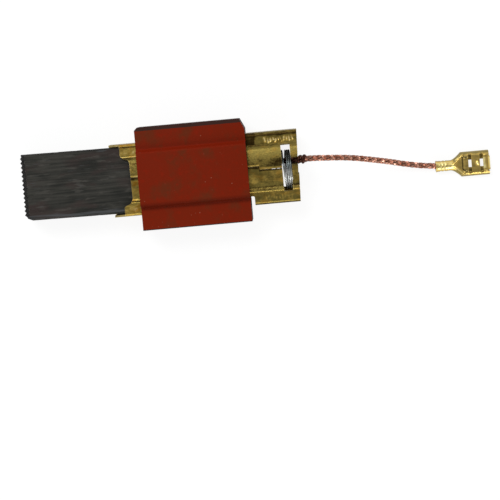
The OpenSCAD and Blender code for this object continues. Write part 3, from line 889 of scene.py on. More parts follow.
@dataclass
class FoldedHolder:
    """The holder: one brass sheet folded round the carbon and the spring."""

    sheet: float = 0.5
    width: float = 18.0
    height: float = 7.6
    channel_w: float = 11.6
    channel_h: float = 10.3
    bend_r: float = 0.9
    crease_r: float = 0.3
    shoulder_r: float = 1.6
    step_run: float = 0.9
    crown_slope: float = 12.0
    axis_z: float = 6.5
    upper_wing_x: float = -17.8
    hidden_x: float = -13.2
    window_front: float = 22.1
    window_rear: float = 24.35
    window_y: float = -0.2
    window_half: float = 5.85
    window_bow: float = 0.22
    lower_window_y: float = -5.65
    taper_l: float = 2.7
    taper_run: float = 2.6
    rear_x: float = 26.05
    rear_lean: float = 2.0
    strip_step_y: float = -2.2
    strip_step: float = 0.2
    seam_gap: float = 0.12
    seam_y: float = 0.2
    seam_step: float = 0.9
    seam_reach: float = 3.0
    seam_key_x: float = 16.4
    notch_y: float = 1.3
    notch_w: float = 1.9
    recess_front: float = 10.45
    recess_rear: float = 14.65
    recess_y: float = -6.7
    recess_r: float = 0.35
    dent: float = 0.05
    columns: list[Column] = field(default_factory=list)
    rows: list[tuple[Stretch, float]] = field(default_factory=list)
    row_counts: tuple[int, ...] = (8, 16, 5, 12, 9, 1, 40, 14, 11)
    dents: list[tuple[float, ...]] = field(default_factory=list)
    depth: float = 0.15
    # brightness across the faces at each Y: tarnished olive with painted highlights on the creases, painted
    # shade in the grooves and painted reflected bands
    tones_and_light: tuple[tuple[float, float], ...] = (
        (-8.9, 0.0), (-8.65, 0.0), (-8.5, 0.75), (-8.3, 0.72), (-8.1, 0.55), (-6.2, 0.58), (-5.95, 0.68),
        (-5.85, 0.8), (-5.75, 0.8), (-5.6, 0.42), (-5.3, 0.2), (-4.6, 0.16), (-4.1, 0.45), (-3.0, 0.8),
        (-1.6, 0.74), (-0.35, 0.62), (0.3, 0.18), (1.6, 0.2), (3.0, 0.4), (4.2, 0.52), (5.2, 0.5),
        (5.55, 0.4), (5.75, 0.1), (6.0, 0.5), (6.5, 0.6), (7.8, 0.5), (8.05, 0.08), (8.3, 0.02),
        (8.5, 0.35), (8.9, 0.5))
    lower_edge: tuple[tuple[float, float], ...] = (
        (0, -22.2), (4.9, -22.2), (5.25, -22.05), (5.6, -21.55), (5.95, -21.2), (6.2, -21.1),
        (8.25, -21.1), (8.55, -20.95), (9.0, -20.45))
    upper_edge: tuple[tuple[float, float], ...] = (
        (-6.75, -17.8), (-6.5, -17.65), (-6.3, -17.25), (-6.1, -16.6), (-5.8, -16.1), (-5.3, -15.8),
        (-4.8, -15.58), (-4.3, -15.5), (4.0, -15.5), (4.6, -15.62), (5.0, -15.85), (5.3, -16.25),
        (5.45, -16.9), (5.7, -17.45), (5.95, -17.7), (6.3, -17.8))
    presses: tuple[tuple[float, float, float, float], ...] = (
        (18.3, 25.6, 7.05, 1.0), (17.5, 24.0, -7.2, 0.22), (-17.4, -14.0, 7.1, 0.2),
        (-17.2, -14.0, -7.1, 0.15))

    def corners(self) -> list[Point]:
        """Corners of the outer section."""
        c, h, w = self.channel_w / 2, self.height / 2, self.width / 2
        slope = math.radians(self.crown_slope)
        shoulder = c - self.step_run
        crown_r = 0.8 * shoulder / math.cos(slope) / math.tan(slope)
        apex = self.channel_h / 2 + crown_r * (1 / math.cos(slope) - 1)
        shoulder_z = apex - shoulder * math.tan(slope)
        edge = self.shoulder_r
        return both_halves([
            (w, h, self.bend_r), (c, h, self.crease_r), (shoulder, shoulder_z, edge), (0, apex, crown_r),
            (-shoulder, shoulder_z, edge), (-c, h, self.crease_r), (-w, h, self.bend_r)])

    def section(self) -> np.ndarray:
        """Points of the outer section from the crown over +Y and the underside back to the crown."""
        loop = rounded_outline(self.corners(), step=4.0)[::-1]
        loop = np.vstack([loop, loop[:1]])
        dense = [loop[0]]
        for a, b in zip(loop[:-1], loop[1:]):
            steps = max(1, math.ceil(np.linalg.norm(b - a) / 0.05))
            dense += [a + (b - a) * (k + 1) / steps for k in range(steps)]
        dense = np.array(dense[:-1])
        first = int(np.argmin(np.abs(dense[:, 0]) + (dense[:, 1] < 0) * 99))
        return np.vstack([dense[first:], dense[:first], dense[first:first + 1]])

    def crown_z(self, y: float) -> float:
        """Height of the crown over the axis at y."""
        path = self.path
        near = path[(path[:, 1] > 0) & (np.abs(path[:, 0]) < 4)]
        near = near[np.argsort(near[:, 0])]
        return float(np.interp(y, near[:, 0], near[:, 1]))

    def spacing(self, y: float, z: float) -> float:
        """Distance between columns near a point of the section."""
        if abs(z) < self.height / 2 - 1:
            return 0.7
        if 4.2 < abs(y) < 6.9:
            return 0.14
        return 0.24 if abs(y) >= 6.9 else 0.36

    def lay_columns(self) -> None:
        """Chooses the columns: the seam's own, then even ones that meet every cut."""
        self.path = self.section()
        walk = walk_along(self.path)
        wall_top = self.height / 2 - self.bend_r

        def where(axis: int, level: float, right: int, upper: int) -> float:
            """Distance along the section at which one quarter of it comes nearest to a level."""
            inside = (self.path[:, 0] * right > 0) & (self.path[:, 1] * upper > 0)
            return float(walk[int(np.argmin(np.abs(self.path[:, axis] - level) + np.where(inside, 0, 99)))])

        near_y, far_y = self.window_y - self.window_half, self.window_y + self.window_half
        stops = [where(*cut) for cut in (
            (0, self.seam_reach, 1, 1), (0, far_y, 1, 1), (1, wall_top, 1, 1), (0, far_y, 1, -1),
            (0, self.strip_step_y, -1, -1), (0, self.lower_window_y, -1, -1), (0, self.recess_y, -1, -1),
            (1, wall_top, -1, 1), (0, self.recess_y, -1, 1), (0, near_y, -1, 1),
            (0, self.strip_step_y, -1, 1))]
        places = [stops[0]]
        for a, b in zip(stops[:-1], stops[1:]):
            at, run = a, []
            while at < b:
                y, z = self.at(at, walk)
                at += self.spacing(y, z)
                run.append(at)
            stretch = (b - a) / (run[-1] - a)
            places += [a + (s - a) * stretch for s in run[:-1]] + [b]
        step_at = stops[4]
        places = sorted(places + [step_at + 0.02])
        shares = [0.0, 0.04, 0.1, 0.2, 0.33, 0.48, 0.64, 0.8]
        self.columns = [Column(1, share) for share in shares]
        self.columns += [Column(0, 0.0, *self.at(s, walk), s > step_at + 0.01) for s in places]
        self.columns += [Column(-1, share) for share in [0.97] + shares[::-1]]

    def at(self, s: float, walk: np.ndarray) -> tuple[float, float]:
        """Point of the section at distance s from the crown."""
        return float(np.interp(s, walk, self.path[:, 0])), float(np.interp(s, walk, self.path[:, 1]))

    def lay_rows(self) -> None:
        """Chooses the rows as shares of the stretches between one cut and the next."""
        self.rows = [(stretch, k / n) for stretch, n in zip(Stretch, self.row_counts) for k in range(n)]
        self.rows.append((Stretch.STRIP, 1.0))

    def stops(self, column: Column) -> list[float]:
        """Where each stretch of rows starts and ends along the brush, for one column."""
        y, z, upper = self.column_yz(column, 0.0)
        side = abs(z) < self.height / 2 - self.bend_r + 0.01
        key = column.seam * self.seam_gap / 2
        rear = self.rear_x + y * math.tan(math.radians(self.rear_lean))
        rear += self.strip_step if column.long else 0.0
        window, behind = self.window_front, self.window_rear
        if upper and not side:
            behind += self.window_bow * smooth((3.2 - abs(y + 0.9)) / 1.2)
        if not upper and not side:
            inside = min(self.window_y + self.window_half - y, y - self.lower_window_y)
            window -= self.taper_l * float(np.interp(inside, [0, self.taper_run], [0, 1]))
        rounding = 0.0
        if y < self.recess_y + 0.01:
            corner = self.recess_r - max(0.0, min(self.recess_r, self.recess_y - y))
            rounding = self.recess_r - math.sqrt(self.recess_r**2 - corner**2)
        return [self.table(self.lower_edge, abs(y)),
                self.table(self.upper_edge, y) if upper and not side else self.upper_wing_x,
                self.hidden_x, self.recess_front + rounding, self.recess_rear - rounding,
                self.seam_key_x - 0.02 + key, self.seam_key_x + 0.02 + key, window, behind, rear]

    def table(self, rows: Sequence[tuple[float, float]], at: float) -> float:
        """Value between the rows of a table."""
        return float(np.interp(at, [place for place, _ in rows], [value for _, value in rows]))

    def seam_edge(self, side: int, x: float) -> float:
        """Place in Y of the sheet's edge at the seam."""
        if x > self.window_rear - 0.01:
            return self.notch_y + side * self.notch_w / 2
        key = self.seam_key_x + side * self.seam_gap / 2
        return self.seam_y + (0.5 if x < key else -0.5) * self.seam_step + side * self.seam_gap / 2

    def column_yz(self, column: Column, x: float) -> tuple[float, float, bool]:
        """Place of a column in the section at x, and whether it is on the upper half."""
        if not column.seam:
            return column.y, column.z, column.z > 0
        edge = self.seam_edge(column.seam, x)
        reach = self.seam_reach if column.seam > 0 else self.strip_step_y
        y = edge + (reach - edge) * column.share
        return y, self.crown_z(y), True

    def relief(self, x: float, y: float, z: float) -> float:
        """How far the sheet is dented at a point of its outer face."""
        wing = smooth((abs(y) - 5.9) / 0.5) * smooth((8.3 - abs(y)) / 0.4)
        ripple = grain(x * 1.7, y * 0.55, z, 0.8) + 0.5 * grain(x, y, z + 7, 0.45)
        soft = grain(x, y, z - 5, 3.5)
        struck = self.depth * self.struck(x, y) if z > 0 and abs(y) > 5.9 else 0.0
        return self.dent * (0.9 * wing * ripple + 0.5 * soft) + struck

    def struck(self, x: float, y: float) -> float:
        """How deep in a dent of the wings a place is, from 0 to 1."""
        deep = 0.0
        for dx, dy, rx, ry, lean, share in self.dents:
            if abs(x - dx) < 1:
                off = x - dx - lean * (y - dy)
                deep = max(deep, share * math.exp(-((off / rx) ** 2) - ((y - dy) / ry) ** 4))
        return deep

    def strike(self) -> None:
        """Lays out the uneven dents that a press has left on the wings."""
        chance = np.random.default_rng(7)
        self.dents = []
        for first, last, y, share in self.presses:
            x = first
            while x < last:
                self.dents.append((x, y + chance.uniform(-0.3, 0.3), chance.uniform(0.14, 0.28),
                                   chance.uniform(0.3, 0.75), chance.uniform(-0.45, 0.45),
                                   share * chance.uniform(0.6, 1.0)))
                x += chance.uniform(0.5, 0.85)

    def front_tone_and_light(self, x: float, y: float) -> float:
        """How bright the brass is in front of the sleeve: a painted highlight on the upper crease, painted
        shade in two dark lines and at the front end of the +Y wing, bright wings, and a channel darker on its
        +Y half than on its -Y half.
        """
        if x < -17.6 and y > 7.5:
            return 0.15
        if 7.9 < y < 8.5 or -5.5 < y < -5.2:
            return 0.0
        if 5.6 < y < 5.85:
            return 1.3
        if abs(y) > 6.0:
            return 0.98
        return 0.28 if y > 0 else 0.88

    def tone_and_light(self, x: float, y: float, z: float) -> float:
        """How bright the brass is, from 0 for dark tarnished metal and painted shade to 1 and more for bared
        metal and painted highlights.
        """
        if abs(z) < self.height / 2 - 0.6:
            return 0.42
        across = y if z > 0 else -y
        value = self.table(self.tones_and_light, across)
        if x < 0:
            value = self.front_tone_and_light(x, y)
        elif y > 5.9 and z > 0:
            value -= 0.6 * smooth((16.0 - x) / 0.5) + 0.12 * smooth((18.2 - x) / 0.6)
        # painted highlight in the struck dents
        if z > 0 and abs(y) > 5.9:
            value += 1.35 * self.struck(x, y) - 0.05
        return max(0.0, value)

    def build(self) -> list[bpy.types.Object]:
        """Builds and dresses the holder."""
        self.lay_columns()
        self.lay_rows()
        self.strike()
        stops = [self.stops(c) for c in self.columns]
        window = [self.column_yz(c, 0.0) for c in self.columns]

        def place(r: int, c: int) -> Point:
            """Point of the outer face."""
            stretch, share = self.rows[r]
            x = stops[c][stretch] + (stops[c][stretch + 1] - stops[c][stretch]) * share
            y, z, _ = self.column_yz(self.columns[c], x)
            flat = abs(z) > self.height / 2 - 0.5
            out = unit(np.array([y * 0.2, z])) if flat else np.array([np.sign(y), 0.0])
            rise = -abs(self.relief(x, y, z))
            return x, y + out[0] * rise, self.axis_z + z + out[1] * rise

        def solid(r: int, c: int) -> bool:
            """Whether the sheet covers this cell."""
            stretch = self.rows[r][0]
            (y0, z0, _), (y1, z1, _) = window[c], window[c + 1]
            top = self.height / 2 - self.bend_r - 0.02
            if stretch is Stretch.LIP:
                return min(z0, z1) <= top
            if stretch is Stretch.WINDOW:
                low = self.window_y - self.window_half if max(z0, z1) > 0 else self.lower_window_y
                return min(y0, y1) < low - 0.03 or max(y0, y1) > self.window_y + self.window_half + 0.03
            if stretch is Stretch.RECESS:
                return max(y0, y1) > self.recess_y + 0.03
            return True

        def tone_and_light(r: int, c: int) -> float:
            """Brightness of the brass, with a painted highlight on one edge of the seam and painted shade on
            the other.
            """
            x, y, z = place(r, c)
            column = self.columns[c]
            if column.seam and column.share < 0.15 and x < self.window_front:
                return 1.0 if column.seam > 0 else 0.0
            return self.tone_and_light(x, y, z - self.axis_z)

        holder = SheetGrid(len(self.rows), len(self.columns), place, solid, tone_and_light).build("folded_holder")
        face_from_axis(holder, 0.0, self.axis_z)
        thicken(holder, self.sheet)
        shade(holder, 38)
        dress(holder, Body.HOLDER, ["brush_tube"], AgedBrassFinish().material())
        return [holder]


@dataclass
class CoilSpring:
    """The compression spring: closed end coils in the windows, and working coils behind the carbon."""

    wire: float = 0.42
    working_od: float = 9.0
    end_od: float = 9.9
    end_coils: float = 3.25
    end_lean: float = 2.4
    end_shift: float = -0.9
    lead: float = 0.68
    working_coils: int = 11
    front_coils: int = 1
    coil_gap: float = 0.01
    rear_x: float = 24.3
    front_x: float = -4.74
    axis_z: float = 6.5
    ring_steps: int = 40
    sides: int = 10
    travel: float = 20.0

    def tree(self, finish: bpy.types.Material) -> Graph:
        """Geometry tree that winds wire along the brush between two turn counts."""
        graph = Graph("spring_coils")
        names = ["First turn", "Last turn", "End turns", "Working turns", "Stack", "Working length",
                 "Front stack", "Rear place", "End radius", "Working radius", "Wire radius", "Axis height",
                 "End lean", "End shift", "Lead"]
        v = {name: graph.value(name, Socket.LENGTH) for name in names}
        steps, sides = graph.value("Steps", Socket.COUNT), graph.value("Sides", Socket.COUNT)
        line = graph.node("GeometryNodeMeshLine", {"Count": graph.plus(steps, 1)}).outputs[0]
        share = graph.over(graph.node("GeometryNodeInputIndex", {}).outputs[0], steps)
        turn = graph.remap(share, 0.0, 1.0, v["First turn"], v["Last turn"])
        working_end = graph.plus(v["End turns"], v["Working turns"])
        x = graph.minus(v["Rear place"], graph.remap(turn, 0.0, v["End turns"], 0.0, v["Stack"]))
        leaving = graph.plus(v["End turns"], 0.3)
        free = graph.plus(v["End turns"], 0.6)
        rest = graph.minus(v["Working length"], v["Lead"])
        x = graph.minus(x, graph.remap(turn, v["End turns"], leaving, 0.0, v["Lead"]))
        x = graph.minus(x, graph.remap(turn, free, working_end, 0.0, rest))
        x = graph.minus(x, graph.remap(
            turn, working_end, graph.plus(working_end, float(self.front_coils)), 0.0, v["Front stack"]))
        opened = graph.plus(free, 1.0)
        radius = graph.remap(turn, free, opened, v["End radius"], v["Working radius"])
        angle = graph.times(graph.plus(turn, 0.25), -2 * math.pi)
        y = graph.times(radius, graph.math("COSINE", angle))
        y = graph.plus(y, graph.remap(turn, free, opened, v["End shift"], 0.0))
        up = graph.times(radius, graph.math("SINE", angle))
        z = graph.plus(v["Axis height"], up)
        lean = graph.remap(turn, free, opened, v["End lean"], 0.0)
        x = graph.plus(x, graph.times(lean, up))
        place = graph.node("ShaderNodeCombineXYZ", {0: x, 1: y, 2: z}).outputs[0]
        line = graph.node("GeometryNodeSetPosition", {"Geometry": line, "Position": place}).outputs[0]
        curve = graph.node("GeometryNodeMeshToCurve", {"Mesh": line}).outputs[0]
        graph.finish(graph.tube(curve, sides, v["Wire radius"]), finish)
        return graph

    def wind(self, name: str, graph: Graph, first: float, last: float) -> bpy.types.Object:
        """Winds one stretch of the spring."""
        pitch = self.wire + self.coil_gap
        stack, front = self.end_coils * pitch, self.front_coils * pitch
        piece = add_object(name, bpy.data.meshes.new(name))
        graph.run(piece, **{
            "First turn": first, "Last turn": last, "End turns": float(self.end_coils),
            "Working turns": float(self.working_coils), "Stack": stack * MM,
            "Working length": (self.rear_x - stack - self.front_x - front) * MM, "Front stack": front * MM,
            "Rear place": self.rear_x * MM, "End radius": (self.end_od - self.wire) / 2 * MM,
            "Working radius": (self.working_od - self.wire) / 2 * MM, "Wire radius": self.wire / 2 * MM,
            "Axis height": self.axis_z * MM, "End lean": math.tan(math.radians(self.end_lean)),
            "End shift": self.end_shift * MM, "Lead": self.lead * MM,
            "Steps": int((last - first) * self.ring_steps), "Sides": self.sides})
        face_outwards(piece)
        shade(piece, 60)
        return piece

    def build(self) -> list[bpy.types.Object]:
        """Builds and dresses both stretches, and gives the working coils a mesh of their own."""
        finish = SpringSteelFinish().material()
        graph = self.tree(finish)
        total = float(self.end_coils + self.working_coils + self.front_coils)
        ends = self.wind("spring_end_coils", graph, 0.0, float(self.end_coils))
        working = self.wind("spring_working_coils", graph, float(self.end_coils), total)
        dress(ends, Body.HOLDER, ["spring"], finish)
        dress(working, Body.HOLDER, ["spring"], finish)
        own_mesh(working)
        return [ends, working]


@dataclass
class InsulatingSleeve:
    """The moulded sleeve with raised faces, whose passage follows the holder."""

    length: float = 27.2
    width: float = 25.6
    flank_h: float = 10.3
    plateau_h: float = 13.0
    plateau_w: float = 13.3
    slope_run: float = 0.6
    edge_r: float = 0.35
    slant: tuple[float, float] = (0.9, 0.5)
    gap: float = 0.1
    rear_chamfer: tuple[float, float] = (1.2, 2.5)
    front_chamfer: tuple[float, float] = (0.7, 0.7)

    def corners(self) -> list[Point]:
        """Corners of the outer section."""
        w, p, s = self.width / 2, self.plateau_w / 2, self.slope_run
        f, h, r = self.flank_h / 2, self.plateau_h / 2, self.edge_r
        slant, drop = self.slant
        return both_halves([(w, f - drop, 0.1), (w - slant, f, 0.1), (p + s, f, r), (p, h, r), (-p, h, r),
                            (-p - s, f, r), (-w, f, r)])

    def build(self, holder: FoldedHolder) -> list[bpy.types.Object]:
        """Builds and dresses the sleeve.

        Args:
            holder: the holder whose section the passage follows.

        Returns:
            The sleeve.
        """
        form = bmesh.new()
        ends = []
        for x in (-self.length / 2, self.length / 2):
            loops = []
            for outline in (rounded_outline(self.corners(), step=15),
                            rounded_outline(holder.corners(), -self.gap, step=12)):
                ring = [form.verts.new((x * MM, y * MM, (z + holder.axis_z) * MM)) for y, z in outline]
                loops.append([form.edges.new((ring[i], ring[(i + 1) % len(ring)])) for i in range(len(ring))])
            bmesh.ops.triangle_fill(form, edges=loops[0] + loops[1], use_beauty=True)
            ends.append(loops)
        for k in range(2):
            bmesh.ops.bridge_loops(form, edges=ends[0][k] + ends[1][k])
        for sign, (along, across) in ((1, self.rear_chamfer), (-1, self.front_chamfer)):
            corner = Vector((sign * (self.length / 2 - along) * MM, self.width / 2 * MM, 0))
            normal = Vector((sign * across, along, 0)).normalized()
            whole = form.verts[:] + form.edges[:] + form.faces[:]
            cut = bmesh.ops.bisect_plane(form, geom=whole, plane_co=corner, plane_no=normal, clear_outer=True)
            rim = [e for e in cut["geom_cut"] if isinstance(e, bmesh.types.BMEdge)]
            bmesh.ops.contextual_create(form, geom=rim)
        bmesh.ops.recalc_face_normals(form, faces=form.faces)
        mesh = bpy.data.meshes.new("insulating_sleeve_body")
        form.to_mesh(mesh)
        form.free()
        sleeve = add_object("insulating_sleeve_body", mesh)
        soften_edges(sleeve, 0.18, 25)
        note_upright_shade(sleeve, 9.0, 0.96)
        shade(sleeve, 30)
        dress(sleeve, Body.HOLDER, ["insulating_sleeve"], ResinFinish().material())
        return [sleeve]


@dataclass
class PushOnTerminal:
    """The terminal: one stamped sheet that wraps the braid, flares out and rolls under at its edges."""

    sheet: float = 0.32
    width: float = 6.2
    height: float = 2.3
    centre_y: float = -3.8
    barrel_x: float = 60.6
    neck_x: float = 64.3
    apex_x: float = 64.9
    socket_x: float = 66.9
    shoulder_x: float = 67.5
    mouth_x: float = 74.0
    lip_x: float = 74.22
    lip_half: float = 1.9
    barrel_r: float = 1.35
    barrel_z: float = 1.47
    bell: float = 0.12
    bell_l: float = 0.5
    crimps: tuple[float, float] = (1.3, 2.15)
    roll_gap: float = 1.85
    slot_half_l: float = 0.4
    slot_half_w: float = 2.475
    slot_places: tuple[float, float] = (2.25, 5.15)
    dimple_place: float = 4.0
    dimple_r: float = 0.6
    stop_place: float = 0.4
    stop_l: float = 1.2
    stop_half: float = 1.725
    slit: float = 0.14
    curl_r: float = 0.3
    crimp_depth: float = 0.13
    ridge_half: float = 2.45
    ridge_h: float = 0.16
    hollow_depth: float = 0.2
    dimple_depth: float = 0.34
    stop_depth: float = 0.14
    lip_drop: float = 0.5
    corner_cut: tuple[float, float] = (0.7, 0.25)
    columns: int = 161
    row_step: float = 0.11

    def socket_section(self, count: int) -> np.ndarray:
        """Points of the socket's outer face from one rolled edge over the top to the other."""
        r = self.height / 2
        flat = self.width / 2 - r
        half = [np.array([0.0, self.height])]
        half += [np.array([flat * k / 6, self.height]) for k in range(1, 7)]
        half += [np.array([flat + r * math.sin(a), r + r * math.cos(a)])
                 for a in np.linspace(0, math.pi, 26)[1:]]
        curl, inner = self.curl_r, self.roll_gap / 2
        half += [np.array([inner + curl, 0.0])]
        half += [np.array([inner + curl - curl * math.sin(a), curl - curl * math.cos(a)])
                 for a in np.linspace(0, 1.5, 6)[1:]]
        return self.spread(np.array(half), count)

    def barrel_section(self, count: int) -> np.ndarray:
        """Points of the barrel's outer face from its seam over the top to the seam, at unit radius."""
        end = math.pi - 0.05
        return np.array([[math.sin(a), math.cos(a)] for a in np.linspace(-end, end, count)])

    def spread(self, half: np.ndarray, count: int) -> np.ndarray:
        """A half section and its mirror image as count points at even distances."""
        walk = walk_along(half)
        places = self.column_places(walk[-1], count)
        across = np.interp(np.abs(places), walk, half[:, 0]) * np.where(places > 0, 1, -1)
        return np.stack([across, np.interp(np.abs(places), walk, half[:, 1])], axis=1)

    def column_places(self, reach: float, count: int) -> np.ndarray:
        """Distances of the columns from the middle of the top, which meet the edges of every cut."""
        r = self.height / 2
        flat = self.width / 2 - r
        slot_end = flat + r * math.asin((self.slot_half_w - flat) / r)
        cuts = sorted([0.0, self.lip_half, self.stop_half - self.slit, self.stop_half, slot_end, reach])
        share = np.linspace(0, 1, (count - 1) // 2 + 1)
        even = list(share * reach)
        for cut in cuts:
            even[int(np.argmin(np.abs(np.array(even) - cut)))] = cut
        side = np.array(sorted(even))
        return np.concatenate([-side[:0:-1], side])

    def row_places(self) -> list[float]:
        """Places of the rows along the terminal, which meet the edges of every cut."""
        cuts = {self.barrel_x, self.barrel_x + self.bell_l, self.neck_x, self.socket_x, self.mouth_x}
        cuts.add(self.lip_x)
        for place in self.slot_places:
            cuts |= {self.socket_x + place - self.slot_half_l, self.socket_x + place + self.slot_half_l}
        rows = []
        ordered = sorted(cuts)
        for a, b in zip(ordered[:-1], ordered[1:]):
            steps = max(1, math.ceil((b - a) / self.row_step))
            rows += [a + (b - a) * k / steps for k in range(steps)]
        return rows + [ordered[-1]]

    def barrel_radius(self, x: float, y: float) -> float:
        """Outer radius of the crimped barrel at x, on the side of y from -1 to 1."""
        s = x - self.barrel_x
        flare = self.bell * max(0.0, 1 - s / self.bell_l) ** 1.5
        grooves = sum(self.crimp_depth * math.exp(-((s - at - 0.1 * y) / 0.15) ** 2) for at in self.crimps)
        return self.barrel_r + flare - grooves - 0.05 * smooth((s - 2.5) / 0.6)

    def ridge_y(self, x: float) -> float:
        """Distance from the middle of the two ridges that run from the barrel to the shoulders."""
        return self.ridge_half * min(1.0, max(0.0, (x - self.apex_x) / (self.shoulder_x - self.apex_x)))

    def shape(self, x: float, here: np.ndarray, round_: np.ndarray) -> tuple[float, float]:
        """Point of the outer face in the section at x.

        Args:
            x: the section's place.
            here: the column's point in the socket's section.
            round_: its point in the barrel's section, at unit radius.

        Returns:
            Its Y from the middle and its Z.
        """
        share = (x - self.neck_x) / (self.socket_x - self.neck_x)
        wide = min(1.0, max(0.0, share)) ** 1.5
        rise = smooth(share)
        radius = self.barrel_radius(x, float(round_[0]))
        y = round_[0] * radius * (1 - wide) + here[0] * wide
        z = (self.barrel_z + round_[1] * radius) * (1 - rise) + here[1] * rise
        if here[1] < 0.5 * self.height:
            return y, z
        s = x - self.socket_x
        flared = smooth((x - self.neck_x) / 0.9)
        spent = smooth((self.shoulder_x + 0.5 - x) / 0.8)
        off = abs(y) - self.ridge_y(x)
        z += self.ridge_h * flared * spent * math.exp(-((off / 0.3) ** 2))
        z -= self.hollow_depth * flared * spent * smooth(-off / 0.5)
        if here[1] > self.height - 0.01:
            away = math.hypot(s - self.dimple_place, y) / self.dimple_r
            z -= self.dimple_depth * max(0.0, 1 - away)
            z -= self.stop_depth * math.exp(-((self.stop_off(s, y) / (0.6 * self.slit)) ** 2))
        if abs(here[0]) < self.lip_half + 0.05 and s > self.slot_places[1] + self.slot_half_l - 0.01:
            z += 0.1 * smooth((s - 5.55) / 0.5)
            z -= self.lip_drop * smooth((x - self.mouth_x + 0.45) / 0.85)
        return y, z

    def stop_off(self, s: float, y: float) -> float:
        """Distance from the line that is struck round the tab's stop, with one corner cut off."""
        line = ((self.stop_place + self.stop_l, self.stop_half), (self.stop_place, self.stop_half),
                (self.stop_place, 0.5 - self.stop_half), (self.stop_place + 0.5, -self.stop_half),
                (self.stop_place + self.stop_l, -self.stop_half))
        nearest = 9.0
        for (ax, ay), (bx, by) in zip(line[:-1], line[1:]):
            run, rise = bx - ax, by - ay
            share = min(1.0, max(0.0, ((s - ax) * run + (y - ay) * rise) / (run**2 + rise**2)))
            nearest = min(nearest, math.hypot(s - ax - run * share, y - ay - rise * share))
        return nearest

    def tone_and_light(self, x: float, y: float, angle: float) -> float:
        """How bright the brass is, from 0 for dark to 1 for pale, mostly painted light: highlights on the
        ridges, the barrel's top, the crimp lines and the slot rims, a glint in the dimple, and shade on the
        barrel's sides, the outer walls and the struck stop line.

        Args:
            x: place along the brush.
            y: distance from the terminal's middle.
            angle: how far round the barrel the place is, from 0 at its top to 1 at its seam.

        Returns:
            The tone.
        """
        s = x - self.socket_x
        off = abs(y) - self.ridge_y(x)
        # painted highlight along the two ridges
        ridge = math.exp(-((off / 0.32) ** 2)) * smooth((self.shoulder_x + 0.5 - x) / 0.7)
        # painted highlight on the barrel's top and painted shade on its sides
        round_side = 0.86 - 0.62 * smooth((angle - 0.2) / 0.26)
        # painted highlight along the crimp lines
        crimp = sum(math.exp(-(((x - self.barrel_x - at - 0.1 * y) / 0.13) ** 2)) for at in self.crimps)
        plate = 0.56 - 0.06 * math.tanh(s)
        # painted shade on the outer walls, deeper on the +Y side
        outer = 0.24 if y > 0 else 0.3
        neck = max(plate if off < 0 else outer + 0.5 * math.exp(-off / 0.3), ridge * (0.85 if y > 0 else 1.0))
        value = round_side + 0.25 * crimp * (angle < 0.3)
        value += (neck - value) * smooth((x - self.apex_x + 0.3) / 0.8)
        if s > 0.2:
            flat = plate if abs(y) < self.slot_half_w else outer + 0.06
            value += (flat - value) * smooth((s - 0.2) / 0.6)
            # bright rims round the slots: cut edges with a painted highlight
            for place in self.slot_places:
                edge = abs(s - place) - self.slot_half_l
                if abs(y) < self.slot_half_w + 0.1 and edge < 0.3:
                    value = max(value, 0.35 + 0.4 * math.exp(-((edge / 0.14) ** 2)))
            # painted glint in the dimple
            away = math.hypot(s - self.dimple_place - 0.1, y) / self.dimple_r
            value = max(value, 1.3 - 0.9 * away)
            # painted shade in the struck stop line
            value = min(value, 0.12 + smooth((self.stop_off(s, y) - 0.1) / 0.2))
            if abs(y) < 0.75 * self.lip_half and s > self.slot_places[1] + self.slot_half_l:
                value = 0.9 - 0.35 * math.exp(-(((s - 6.6) / 0.35) ** 2))
        return min(1.0, max(0.0, value))

    def open_at(self, x: float, y: float, off: float, slot_end: float, side: float) -> bool:
        """Whether a cut of the sheet lies at a place.

        Args:
            x: place along the brush.
            y: distance from the middle, signed.
            off: distance from the middle along the bent sheet.
            slot_end: that distance at the slots' ends.
            side: that distance where the sheet stands upright.

        Returns:
            True where the sheet is cut away.
        """
        s = x - self.socket_x
        if x > self.mouth_x:
            past = (x - self.mouth_x) / (self.lip_x - self.mouth_x)
            return off > self.lip_half - self.corner_cut[0 if y > 0 else 1] * past**2
        run, gap = self.corner_cut
        start = self.mouth_x - run
        if y < 0 and x > start and 0 < off - self.lip_half < gap * (x - start) / run:
            return True
        if -2.5 < s < -0.15 and off > side + 1.1 + 1.2 * ((s + 1.3) / 1.2) ** 2:
            return True
        return any(abs(s - p) < self.slot_half_l for p in self.slot_places) and off < slot_end

    def build(self) -> list[bpy.types.Object]:
        """Builds and dresses the terminal."""
        count = self.columns
        rows = self.row_places()
        socket, barrel = self.socket_section(count), self.barrel_section(count)
        reach = walk_along(socket)
        across = reach - reach[count // 2]
        top = [c for c in range(count // 2, count) if socket[c][1] > self.height / 2]
        slot_end = max(across[c] for c in top if socket[c][0] <= self.slot_half_w + 0.01)
        side = max(across[c] for c in top)

        def place(r: int, c: int) -> Point:
            """Point of the outer face."""
            y, z = self.shape(rows[r], socket[c], barrel[c])
            return rows[r], self.centre_y + y, z

        def solid(r: int, c: int) -> bool:
            """Whether the sheet covers this cell."""
            off = (across[c] + across[c + 1]) / 2
            y = (socket[c][0] + socket[c + 1][0]) / 2
            return not self.open_at((rows[r] + rows[r + 1]) / 2, y, abs(off), slot_end, side)

        def tone_and_light(r: int, c: int) -> float:
            """Brightness of the brass at a point."""
            y, z = self.shape(rows[r], socket[c], barrel[c])
            if z < self.height / 2 and rows[r] > self.neck_x:
                return 0.3
            return self.tone_and_light(rows[r], y, abs(2 * c / (count - 1) - 1))

        piece = SheetGrid(len(rows), count, place, solid, tone_and_light).build("push_on_terminal")
        face_from_axis(piece, self.centre_y, self.height / 2)
        thicken(piece, self.sheet)
        shade(piece, 40)
        dress(piece, Body.BRUSH, ["terminal"], TinnedBrassFinish().material())
        return [piece]


